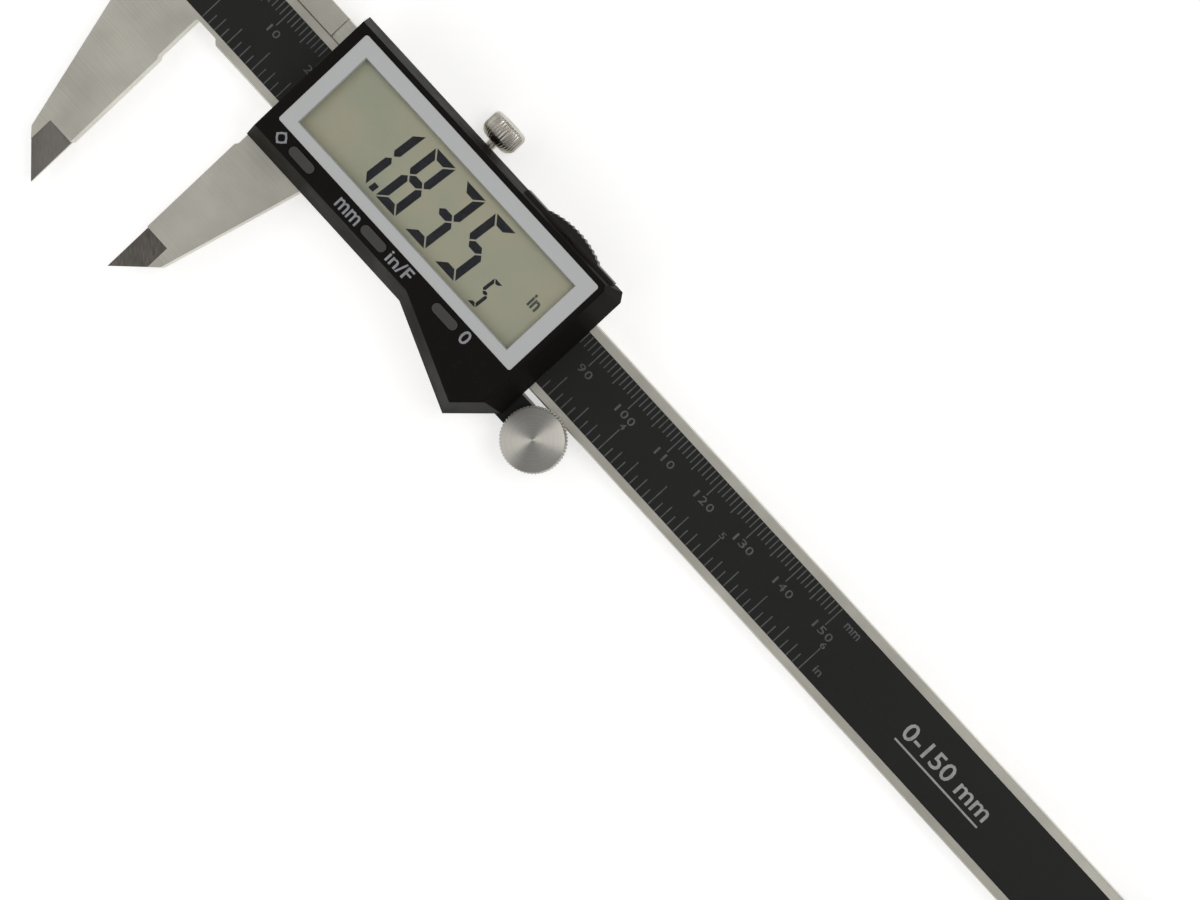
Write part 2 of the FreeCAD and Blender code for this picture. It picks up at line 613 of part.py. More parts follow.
# ---- lock screw and thumb roller --------------------------------------------------------------
def lock_screw():
    """Knurled thumb screw, turned upright and then laid along y."""
    foot, top = LOCK_HEAD_Y
    low, high = LOCK_CHAMFERS
    head = knurled((0, 0), LOCK_KNURLS, 0.08, [(LOCK_HEAD_R - low, foot), (LOCK_HEAD_R, foot + low),
                                               (LOCK_HEAD_R, top - high), (LOCK_HEAD_R - high, top)])
    shank = rod((0, 0, GIB_Y[1] + 0.2), (0, 0, 1), LOCK_SHANK_R, foot - GIB_Y[1])
    screw = head.fuse(shank)
    screw.rotate(V(0, 0, 0), V(1, 0, 0), -90)
    screw.translate(V(LOCK_X, 0, LOCK_Z))
    return screw


def thumb_roller():
    """Roller whose drum runs on the beam's edge and whose knurled flange lies over its front."""
    foot, flange, top = ROLLER_Z
    edge_r = ROLLER_R - ROLLER_CHAMFER
    rim = knurled(ROLLER_AT, ROLLER_KNURLS, 0.025, [(edge_r, flange), (ROLLER_R, flange + ROLLER_CHAMFER),
                                                    (ROLLER_R, top - ROLLER_CHAMFER), (edge_r, top)])
    drum = rod((*ROLLER_AT, foot), (0, 0, 1), ROLLER_DRUM_R, flange - foot)
    return rim.fuse(drum).cut(rod((*ROLLER_AT, foot - 1), (0, 0, 1), AXLE_R + RUN_GAP, AXLE_TOP - foot + 1.2))


def roller_arm():
    """Bracket beside the beam: a block under the cover and a round foot that holds the axle."""
    x, y = ROLLER_AT
    hollow = rod((x, y, -1), (0, 0, 1), ROLLER_DRUM_R + ARM_CLEARANCE, ARM_TOP + 2)
    block = box((ARM_X, x), ARM_Y, (BACK_Z, ARM_TOP)).cut(hollow)
    foot_z = (REST_Z + 0.05, BACK_Z)
    foot = box((RAIL_END_X + 0.2, x), ARM_Y, foot_z)
    foot = foot.fuse(rod((x, y, foot_z[0]), (0, 0, 1), ARM_FOOT_R, foot_z[1] - foot_z[0]))
    axle_hole = rod((x, y, REST_Z), (0, 0, 1), AXLE_R + 0.02, 2)
    return block.fuse(foot).cut([axle_hole] + screw_holes([arm_screw_place()])).removeSplitter()


def roller_axle():
    """Pin of the thumb roller, held in the arm's foot."""
    foot = REST_Z + 0.1
    pin = rod((*ROLLER_AT, foot), (0, 0, 1), AXLE_R, AXLE_TOP - foot)
    return pin.makeChamfer(AXLE_CHAMFER, [e for e in pin.Edges if e.BoundBox.ZMin > AXLE_TOP - 0.01])


def roller_spring():
    """Bowed leaf between the lower rail and the arm that pushes the roller to the beam."""
    near = LOW_RAIL_END_X + 0.08
    far = near + SPRING_T
    low, high = SPRING_Y
    middle = (low + high) / 2
    return prism([(near, high), ((near + SPRING_BOW, middle), (near, low)), (far, low),
                  ((far + SPRING_BOW, middle), (far, high))], SPRING_Z)


# ---- storing ----------------------------------------------------------------------------------
def store(name, shapes, shift=V(0, 0, 0)):
    """Move a piece to its place and write it."""
    shape = Part.makeCompound(shapes) if isinstance(shapes, list) else shapes
    shape.translate(shift - ROW_ORIGIN)
    shape.exportStep(f"parts/{name}.step")


def main():
    """Write every piece."""
    os.makedirs("parts", exist_ok=True)
    stator, label = scale_strips()
    fixed_pieces = {
        "beam": beam(), "scale_stator": stator, "scale_label": label, "beam_end_stop": end_stop(),
        "end_stop_screws": [sunk_screw(*place) for place in end_stop_screw_places()],
    }
    slider_pieces = {
        "slider_frame": slider_frame(), "back_plate": back_plate(),
        "body_screws": [sunk_screw(*place) for place in body_screw_places()],
        "gib_strip": gib_strip(), "gib_set_screws": gib_set_screws(), "beam_wipers": beam_wipers(),
        "depth_rod": depth_rod(), "depth_rod_screw": sunk_screw(*rod_screw_place()),
        "front_cover": front_cover(), "display_bezel": display_bezel(), "display_window": display_window(),
        "lcd_panel": lcd_panel(),
        "lcd_connector_strip": box((8, 57), STRIP_Y, (BOARD_TOP, PANEL_Z[0])),
        "circuit_board": circuit_board(), "controller_chip": controller_chip(),
        "button_switches": button_switches(), "battery_contact": battery_contact(),
        "battery_tray": battery_tray(), "coin_cell": coin_cell(), "lock_screw": lock_screw(),
        "thumb_roller": thumb_roller(), "roller_arm": roller_arm(), "roller_axle": roller_axle(),
        "roller_spring": roller_spring(), "roller_arm_screw": sunk_screw(*arm_screw_place()),
    }
    for name, x in BUTTON_X.items():
        slider_pieces[name] = button(x)
    for name, shapes in fixed_pieces.items():
        store(name, shapes)
    for name, shapes in slider_pieces.items():
        store(name, shapes, SLIDER_SHIFT)


main()
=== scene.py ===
"""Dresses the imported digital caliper: ground steel, black mouldings, display, printing and knurled metal."""
import json
import logging
import math
from dataclasses import dataclass, field
from enum import Enum
from typing import Callable, ClassVar, Sequence

import bmesh
import bpy
from mathutils import Matrix, Vector

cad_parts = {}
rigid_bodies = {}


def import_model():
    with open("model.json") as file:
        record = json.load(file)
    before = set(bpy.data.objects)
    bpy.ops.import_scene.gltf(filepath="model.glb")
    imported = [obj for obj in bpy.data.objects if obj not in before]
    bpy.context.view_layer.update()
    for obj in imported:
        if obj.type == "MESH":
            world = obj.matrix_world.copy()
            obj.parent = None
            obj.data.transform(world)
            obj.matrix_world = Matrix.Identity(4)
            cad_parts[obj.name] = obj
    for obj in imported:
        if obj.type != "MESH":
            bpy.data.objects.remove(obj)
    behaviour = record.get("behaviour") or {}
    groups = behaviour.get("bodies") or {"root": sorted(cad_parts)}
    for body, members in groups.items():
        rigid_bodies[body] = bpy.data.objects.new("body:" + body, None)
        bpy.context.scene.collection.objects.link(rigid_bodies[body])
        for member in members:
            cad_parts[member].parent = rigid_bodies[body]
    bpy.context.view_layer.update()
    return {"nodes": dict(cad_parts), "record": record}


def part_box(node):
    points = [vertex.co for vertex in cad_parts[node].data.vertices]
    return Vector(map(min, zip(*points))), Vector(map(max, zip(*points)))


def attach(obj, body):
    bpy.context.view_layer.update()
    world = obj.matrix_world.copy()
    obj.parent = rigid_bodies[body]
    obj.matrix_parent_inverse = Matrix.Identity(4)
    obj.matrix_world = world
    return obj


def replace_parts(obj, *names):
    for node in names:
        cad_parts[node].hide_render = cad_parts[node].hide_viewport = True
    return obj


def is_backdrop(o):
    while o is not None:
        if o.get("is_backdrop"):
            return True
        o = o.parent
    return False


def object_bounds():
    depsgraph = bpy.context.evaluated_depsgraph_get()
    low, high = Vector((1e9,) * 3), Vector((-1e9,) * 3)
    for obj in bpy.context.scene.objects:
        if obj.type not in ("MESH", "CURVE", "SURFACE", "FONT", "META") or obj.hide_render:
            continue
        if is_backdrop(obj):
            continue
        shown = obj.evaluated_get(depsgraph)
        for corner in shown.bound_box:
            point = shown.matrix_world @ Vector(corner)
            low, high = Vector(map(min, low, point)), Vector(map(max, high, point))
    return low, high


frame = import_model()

MM = 0.001
INCH = 25.4
LOG = logging.getLogger("caliper")

Colour = tuple[float, float, float]
Outline = Sequence[tuple[float, float]]
Span = tuple[float, float]


# ---- nodes ------------------------------------------------------------------------------------
class Wiring:
    """Adds nodes to one tree and joins their sockets."""

    def __init__(self, tree: bpy.types.NodeTree) -> None:
        """Keeps the tree that the nodes go to."""
        self.tree = tree

    def feed(self, socket: bpy.types.NodeSocket, value: object) -> None:
        """Joins an output to the socket, or sets the socket's own value.

        Args:
            socket: the input.
            value: an output, a colour of three, or a plain value.
        """
        if isinstance(value, bpy.types.NodeSocket):
            self.tree.links.new(value, socket)
        elif isinstance(value, tuple) and socket.type == "RGBA":
            socket.default_value = (*value, 1.0)
        else:
            socket.default_value = value

    def add(self, kind: str, inputs: dict | None = None, **settings: object) -> bpy.types.Node:
        """Adds one node.

        Args:
            kind: Blender's name for the node type.
            inputs: sockets or values, by the input's name or number.
            settings: attributes of the node itself.

        Returns:
            The new node.
        """
        node = self.tree.nodes.new(kind)
        for key, value in settings.items():
            setattr(node, key, value)
        for key, value in (inputs or {}).items():
            self.feed(node.inputs[key], value)
        return node

    def calc(self, operation: str, first: object, second: object = 0.0) -> bpy.types.NodeSocket:
        """Adds a Math node that clamps to 0 and 1 and returns its value."""
        inputs = {0: first, 1: second}
        return self.add("ShaderNodeMath", inputs, operation=operation, use_clamp=True).outputs[0]

    def vector(self, operation: str, first: object,
               second: object = (0.0, 0.0, 0.0)) -> bpy.types.NodeOutputs:
        """Adds a Vector Math node and returns its outputs."""
        return self.add("ShaderNodeVectorMath", {0: first, 1: second}, operation=operation).outputs

    def mix(self, share: object, first: object, second: object) -> bpy.types.NodeSocket:
        """Adds a colour mix.

        Args:
            share: how much of the second colour shows, 0 to 1.
            first: the colour at 0.
            second: the colour at 1.

        Returns:
            The mixed colour.
        """
        node = self.add("ShaderNodeMix", data_type="RGBA")
        for number, value in ((0, share), (6, first), (7, second)):
            self.feed(node.inputs[number], value)
        return node.outputs[2]

    def remap(self, value: object, source: Span, target: tuple[object, object]) -> bpy.types.NodeSocket:
        """Adds a Map Range node, which clamps to its target range.

        Args:
            value: what is mapped.
            source: the values that become the two ends of the target.
            target: the values at its ends.

        Returns:
            The mapped value.
        """
        inputs = {"Value": value, "From Min": source[0], "From Max": source[1],
                  "To Min": target[0], "To Max": target[1]}
        return self.add("ShaderNodeMapRange", inputs).outputs[0]

    def noise(self, place: object, scale: object, detail: float = 3.0) -> bpy.types.NodeSocket:
        """Adds a noise texture and returns its value."""
        return self.add("ShaderNodeTexNoise", {"Vector": place, "Scale": scale, "Detail": detail}).outputs[0]


class Effects:
    """The node groups that several finishes share, each built once."""

    def __init__(self) -> None:
        """Builds every group."""
        self.streaks = self._streaks()
        self.grain = self._grain()
        self.wear = self._wear()
        self.handling = self._handling()
        self.rings = self._rings()

    @staticmethod
    def _group(name: str, inputs: dict[str, object],
               outputs: dict[str, str]) -> tuple[Wiring, bpy.types.NodeOutputs, bpy.types.Node]:
        """Starts a group.

        Args:
            name: the group's name.
            inputs: name and default of each input; a number, a colour of three, or None for a vector.
            outputs: name and socket type of each output.

        Returns:
            The wiring, the group's inputs by name, and its output node.
        """
        tree = bpy.data.node_groups.new(name, "ShaderNodeTree")
        kinds = {type(None): "NodeSocketVector", tuple: "NodeSocketColor", float: "NodeSocketFloat"}
        for label, default in inputs.items():
            socket = tree.interface.new_socket(label, in_out="INPUT", socket_type=kinds[type(default)])
            if default is not None:
                socket.default_value = (*default, 1.0) if isinstance(default, tuple) else default
        for label, kind in outputs.items():
            tree.interface.new_socket(label, in_out="OUTPUT", socket_type=kind)
        wiring = Wiring(tree)
        return wiring, wiring.add("NodeGroupInput").outputs, wiring.add("NodeGroupOutput")

    def _streaks(self) -> bpy.types.NodeTree:
        """Long fine lines of grinding or brushing, with a slow change of tone under them.

        Returns:
            The group.
        """
        w, given, out = self._group(
            "brushed streaks",
            {"Vector": None, "Along": 60.0, "Across": 6000.0, "Dark": (0.3, 0.3, 0.3),
             "Light": (0.6, 0.6, 0.6), "Smooth": 0.3, "Rough": 0.45},
            {"Colour": "NodeSocketColor", "Roughness": "NodeSocketFloat", "Height": "NodeSocketFloat"})
        stretch = w.add("ShaderNodeCombineXYZ", {0: given["Along"], 1: given["Across"], 2: given["Across"]})
        lines = w.noise(w.vector("MULTIPLY", given["Vector"], stretch.outputs[0])[0], 1.0, 5.0)
        clouds = w.noise(given["Vector"], 90.0, 3.0)
        tone = w.calc("ADD", w.calc("MULTIPLY", lines, 0.45), w.calc("MULTIPLY", clouds, 0.55))
        share = w.remap(tone, (0.34, 0.66), (0.0, 1.0))
        w.feed(out.inputs["Colour"], w.mix(share, given["Dark"], given["Light"]))
        w.feed(out.inputs["Roughness"], w.remap(lines, (0.3, 0.7), (given["Rough"], given["Smooth"])))
        w.feed(out.inputs["Height"], lines)
        return w.tree

    def _grain(self) -> bpy.types.NodeTree:
        """Fine pebbled grain of a moulding or a printed film.

        Returns:
            The group.
        """
        w, given, out = self._group(
            "moulded grain", {"Vector": None, "Scale": 9000.0, "Depth": 1.0},
            {"Mask": "NodeSocketFloat", "Height": "NodeSocketFloat"})
        cells = w.add("ShaderNodeTexVoronoi", {"Vector": given["Vector"], "Scale": given["Scale"]}).outputs[0]
        soft = w.noise(given["Vector"], given["Scale"], 2.0)
        mask = w.calc("ADD", w.calc("MULTIPLY", cells, 0.5), w.calc("MULTIPLY", soft, 0.5))
        w.feed(out.inputs["Mask"], mask)
        w.feed(out.inputs["Height"], w.calc("MULTIPLY", mask, given["Depth"]))
        return w.tree

    def _wear(self) -> bpy.types.NodeTree:
        """Rubbed corners: where the surface turns within a small width, broken up into patches.

        Returns:
            The group.
        """
        w, given, out = self._group(
            "edge wear", {"Vector": None, "Width": 0.15 * MM, "Amount": 0.6}, {"Mask": "NodeSocketFloat"})
        turned = w.add("ShaderNodeBevel", {"Radius": given["Width"]}, samples=4).outputs[0]
        flat = w.add("ShaderNodeNewGeometry").outputs["Normal"]
        corner = w.remap(w.vector("DOT_PRODUCT", turned, flat)["Value"], (0.995, 0.9), (0.0, 1.0))
        patches = w.remap(w.noise(given["Vector"], 700.0, 4.0), (0.42, 0.62), (0.15, 1.0))
        w.feed(out.inputs["Mask"], w.calc("MULTIPLY", w.calc("MULTIPLY", corner, patches), given["Amount"]))
        return w.tree

    def _handling(self) -> bpy.types.NodeTree:
        """Faint finger marks and dust that make a surface a little duller in patches.

        Returns:
            The group.
        """
        w, given, out = self._group(
            "handling marks", {"Vector": None, "Scale": 110.0, "Amount": 0.5},
            {"Mask": "NodeSocketFloat", "Dust": "NodeSocketFloat"})
        smears = w.remap(w.noise(given["Vector"], given["Scale"], 5.0), (0.4, 0.7), (0.0, 1.0))
        specks = w.remap(w.noise(given["Vector"], 5200.0, 1.0), (0.70, 0.78), (0.0, 1.0))
        w.feed(out.inputs["Mask"], w.calc("MULTIPLY", smears, given["Amount"]))
        w.feed(out.inputs["Dust"], w.calc("MULTIPLY", specks, given["Amount"]))
        return w.tree

    def _rings(self) -> bpy.types.NodeTree:
        """Turning lines round an upright axis.

        Returns:
            The group.
        """
        w, given, out = self._group(
            "turning rings", {"Vector": None, "Centre": None, "Pitch": 12000.0},
            {"Mask": "NodeSocketFloat", "Height": "NodeSocketFloat"})
        away = w.vector("SUBTRACT", given["Vector"], given["Centre"])[0]
        radius = w.vector("LENGTH", w.vector("MULTIPLY", away, (1.0, 1.0, 0.0))[0])["Value"]
        turns = w.add("ShaderNodeMath", {0: radius, 1: given["Pitch"]}, operation="MULTIPLY").outputs[0]
        wave = w.add("ShaderNodeTexNoise", {"W": turns, "Scale": 1.0, "Detail": 3.0}, noise_dimensions="1D")
        w.feed(out.inputs["Mask"], wave.outputs[0])
        w.feed(out.inputs["Height"], wave.outputs[0])
        return w.tree


# ---- finishes ---------------------------------------------------------------------------------
class Lay(Enum):
    """Which way the lines of grinding run, as a turn about the upright axis."""

    ALONG = 0.0
    ACROSS = math.pi / 2
    SLANTED = math.radians(42.0)


class Finish:
    """A material that is still to be built."""

    name: str

    def start(self) -> tuple[Wiring, bpy.types.Node, bpy.types.NodeSocket]:
        """Starts the material.

        Returns:
            The wiring, the Principled shader, and the place on the object.
        """
        material = bpy.data.materials.new(self.name)
        material.use_nodes = True
        wiring = Wiring(material.node_tree)
        shader = material.node_tree.nodes["Principled BSDF"]
        place = wiring.add("ShaderNodeTexCoord").outputs["Object"]
        return wiring, shader, place

    def build(self, effects: Effects) -> bpy.types.Material:
        """Builds the material; each kind of finish has its own."""
        raise NotImplementedError

    @staticmethod
    def group(w: Wiring, tree: bpy.types.NodeTree, inputs: dict) -> bpy.types.NodeOutputs:
        """Places one of the shared effects in a material.

        Args:
            w: the material's wiring.
            tree: the effect's group.
            inputs: its sockets or values, by the input's name.

        Returns:
            The outputs of the placed group.
        """
        node = w.add("ShaderNodeGroup", node_tree=tree)
        for label, value in inputs.items():
            w.feed(node.inputs[label], value)
        return node.outputs

    @staticmethod
    def bump(w: Wiring, shader: bpy.types.Node, height: bpy.types.NodeSocket, strength: float,
             distance: float) -> None:
        """Raises the surface by a pattern: how strongly, from 0 to 1, and how high, in millimetres."""
        node = w.add("ShaderNodeBump", {"Strength": strength, "Distance": distance * MM, "Height": height})
        w.feed(shader.inputs["Normal"], node.outputs[0])

    def result(self) -> bpy.types.Material:
        """The material with this finish's name."""
        return bpy.data.materials[self.name]


@dataclass(frozen=True)
class GroundSteel(Finish):
    """Steel or another metal with straight lines of grinding."""

    name: str
    light: Colour
    dark: Colour
    lay: Lay = Lay.ALONG
    smooth: float = 0.30
    rough: float = 0.44
    across: float = 5200.0
    depth: float = 0.10

    def build(self, effects: Effects) -> bpy.types.Material:
        """Streaks feed colour, roughness and bump; corners are brighter, and finger marks raise the roughness.

        Args:
            effects: the shared effects.

        Returns:
            The material.
        """
        w, shader, place = self.start()
        turned = w.add("ShaderNodeMapping", {"Vector": place, "Rotation": (0.0, 0.0, self.lay.value)})
        streaks = self.group(w, effects.streaks, {
            "Vector": turned.outputs[0], "Across": self.across, "Dark": self.dark, "Light": self.light,
            "Smooth": self.smooth, "Rough": self.rough})
        wear = self.group(w, effects.wear, {"Vector": place, "Width": 0.12 * MM, "Amount": 0.5})["Mask"]
        marks = self.group(w, effects.handling, {"Vector": place, "Amount": 0.35})["Mask"]
        bright = tuple(min(1.0, c * 1.25) for c in self.light)
        w.feed(shader.inputs["Base Color"], w.mix(wear, streaks["Colour"], bright))
        dulled = w.calc("ADD", streaks["Roughness"], w.calc("MULTIPLY", marks, 0.14))
        w.feed(shader.inputs["Roughness"], dulled)
        self.bump(w, shader, streaks["Height"], self.depth, 0.02)
        shader.inputs["Metallic"].default_value = 1.0
        return self.result()


@dataclass(frozen=True)
class TurnedMetal(Finish):
    """Metal cut on a lathe, with rings round its axis and a highlight that fans out from it."""

    name: str
    light: Colour
    dark: Colour
    centre: Vector
    roughness: float = 0.42
    fan: float = 0.95

    def build(self, effects: Effects) -> bpy.types.Material:
        """Rings feed colour, roughness and bump, and the reflection is drawn out across them.

        Args:
            effects: the shared effects.

        Returns:
            The material.
        """
        w, shader, place = self.start()
        rings = self.group(w, effects.rings, {"Vector": place, "Centre": self.centre, "Pitch": 9000.0})
        wear = self.group(w, effects.wear, {"Vector": place, "Width": 0.12 * MM, "Amount": 0.6})["Mask"]
        tone = w.mix(w.remap(rings["Mask"], (0.35, 0.65), (0.0, 1.0)), self.dark, self.light)
        w.feed(shader.inputs["Base Color"], w.mix(wear, tone, tuple(min(1.0, c * 1.2) for c in self.light)))
        span = (self.roughness - 0.05, self.roughness + 0.05)
        w.feed(shader.inputs["Roughness"], w.remap(rings["Mask"], (0.3, 0.7), span))
        self.bump(w, shader, rings["Height"], 0.08, 0.02)
        tangent = w.add("ShaderNodeTangent", direction_type="RADIAL", axis="Z").outputs[0]
        w.feed(shader.inputs["Tangent"], tangent)
        shader.inputs["Metallic"].default_value = 1.0
        shader.inputs["Anisotropic"].default_value = self.fan
        shader.inputs["Anisotropic Rotation"].default_value = 0.25
        return self.result()


@dataclass(frozen=True)
class Moulding(Finish):
    """Moulded plastic or rubber, or a coated board, with fine grain, rubbed corners and finger marks."""

    name: str
    colour: Colour
    rubbed: Colour
    roughness: float = 0.3
    grain: float = 0.05
    scale: float = 9000.0
    specular: float = 0.5

    def build(self, effects: Effects) -> bpy.types.Material:
        """Grain feeds bump and tone, wear the corners, and finger marks the roughness.

        Args:
            effects: the shared effects.

        Returns:
            The material.
        """
        w, shader, place = self.start()
        grain = self.group(w, effects.grain, {"Vector": place, "Scale": self.scale})
        wear = self.group(w, effects.wear, {"Vector": place, "Width": 0.18 * MM, "Amount": 0.45})["Mask"]
        marks = self.group(w, effects.handling, {"Vector": place, "Amount": 0.5})
        shade = tuple(c * 0.86 for c in self.colour)
        body = w.mix(grain["Mask"], shade, self.colour)
        dusted = w.mix(w.calc("MULTIPLY", marks["Dust"], 0.12), body, (0.45, 0.44, 0.42))
        w.feed(shader.inputs["Base Color"], w.mix(wear, dusted, self.rubbed))
        dulled = w.remap(marks["Mask"], (0.0, 0.5), (self.roughness, self.roughness + 0.12))
        w.feed(shader.inputs["Roughness"], dulled)
        self.bump(w, shader, grain["Height"], self.grain, 0.03)
        shader.inputs["Specular IOR Level"].default_value = self.specular
        return self.result()


@dataclass(frozen=True)
class Ink(Finish):
    """Screen-printed ink with slightly uneven cover."""

    name: str
    full: Colour
    thin: Colour
    roughness: float = 0.55

    def build(self, effects: Effects) -> bpy.types.Material:
        """Uneven cover changes the tone and the roughness.

        Args:
            effects: the shared effects.

        Returns:
            The material.
        """
        w, shader, place = self.start()
        marks = self.group(w, effects.handling, {"Vector": place, "Scale": 900.0, "Amount": 0.8})["Mask"]
        w.feed(shader.inputs["Base Color"], w.mix(marks, self.full, self.thin))
        span = (self.roughness, self.roughness + 0.15)
        w.feed(shader.inputs["Roughness"], w.remap(marks, (0.0, 0.8), span))
        shader.inputs["Specular IOR Level"].default_value = 0.2
        return self.result()


@dataclass(frozen=True)
class ClearWindow(Finish):
    """Clear moulded window that lets the light through to the display."""

    name: str
    tint: Colour

    def build(self, effects: Effects) -> bpy.types.Material:
        """Clear plastic for the eye and the mirror image, open for the light that falls through it.

        Args:
            effects: the shared effects.

        Returns:
            The material.
        """
        w, shader, place = self.start()
        marks = self.group(w, effects.handling, {"Vector": place, "Amount": 0.25})["Mask"]
        w.feed(shader.inputs["Base Color"], w.mix(marks, self.tint, tuple(c * 0.985 for c in self.tint)))
        w.feed(shader.inputs["Roughness"], w.remap(marks, (0.0, 0.25), (0.02, 0.06)))
        shader.inputs["Transmission Weight"].default_value = 1.0
        shader.inputs["IOR"].default_value = 1.36
        see = w.add("ShaderNodeBsdfTransparent", {0: self.tint}).outputs[0]
        rays = w.add("ShaderNodeLightPath").outputs
        passing = w.calc("ADD", rays["Is Shadow Ray"], rays["Is Diffuse Ray"])
        both = w.add("ShaderNodeMixShader", {0: passing, 1: shader.outputs[0], 2: see}).outputs[0]
        w.feed(w.tree.nodes["Material Output"].inputs["Surface"], both)
        return self.result()


@dataclass(frozen=True)
class DisplayGlass(Finish):
    """Reflective display: a grey-green polariser over a faint pattern of clear electrodes."""

    name: str
    light: Colour
    dark: Colour

    def build(self, effects: Effects) -> bpy.types.Material:
        """Slow clouds and fine fibres in the polariser change its tone.

        Args:
            effects: the shared effects.

        Returns:
            The material.
        """
        w, shader, place = self.start()
        clouds = w.remap(w.noise(place, 85.0, 4.0), (0.35, 0.65), (0.0, 1.0))
        fibres = self.group(w, effects.streaks, {
            "Vector": place, "Along": 300.0, "Across": 2600.0, "Dark": self.dark, "Light": self.light,
            "Smooth": 0.22, "Rough": 0.34})
        share = w.calc("MULTIPLY", clouds, 0.6)
        w.feed(shader.inputs["Base Color"], w.mix(share, fibres["Colour"], self.light))
        w.feed(shader.inputs["Roughness"], fibres["Roughness"])
        shader.inputs["Specular IOR Level"].default_value = 0.15
        return self.result()


@dataclass(frozen=True)
class Fabric(Finish):
    """Pressed felt."""

    name: str
    colour: Colour

    def build(self, effects: Effects) -> bpy.types.Material:
        """Fine fibres give tone and bump.

        Args:
            effects: the shared effects.

        Returns:
            The material.
        """
        w, shader, place = self.start()
        fibres = self.group(w, effects.grain, {"Vector": place, "Scale": 5000.0})
        shade = tuple(c * 0.5 for c in self.colour)
        w.feed(shader.inputs["Base Color"], w.mix(fibres["Mask"], shade, self.colour))
        self.bump(w, shader, fibres["Height"], 0.8, 0.05)
        shader.inputs["Roughness"].default_value = 0.95
        return self.result()


@dataclass(frozen=True)
class BoardLaminate(Finish):
    """Green board with copper tracks that show through the lacquer as lighter lines."""

    name: str
    lacquer: Colour
    track: Colour
    pitch: float = 420.0

    def build(self, effects: Effects) -> bpy.types.Material:
        """Bands of tracks lie across the board under the lacquer.

        Args:
            effects: the shared effects.

        Returns:
            The material.
        """
        w, shader, place = self.start()
        inputs = {"Vector": place, "Scale": self.pitch, "Distortion": 1.5, "Detail": 1.0}
        bands = w.add("ShaderNodeTexWave", inputs).outputs["Fac"]
        share = w.remap(bands, (0.55, 0.6), (0.0, 1.0))
        marks = self.group(w, effects.handling, {"Vector": place})["Mask"]
        w.feed(shader.inputs["Base Color"], w.mix(share, self.lacquer, self.track))
        w.feed(shader.inputs["Roughness"], w.remap(marks, (0.0, 0.5), (0.28, 0.4)))
        return self.result()


# ---- meshes -----------------------------------------------------------------------------------
@dataclass(frozen=True)
class Ring:
    """One ring of a turned shape: radius, height, and how deep the knurls cut it."""

    radius: float
    height: float
    cut: float = 0.0


@dataclass(frozen=True)
class Word:
    """A printed word: its middle, its whole width and height, and how far its strokes are thickened."""

    text: str
    middle: tuple[float, float]
    size: tuple[float, float]
    weight: float = 0.01


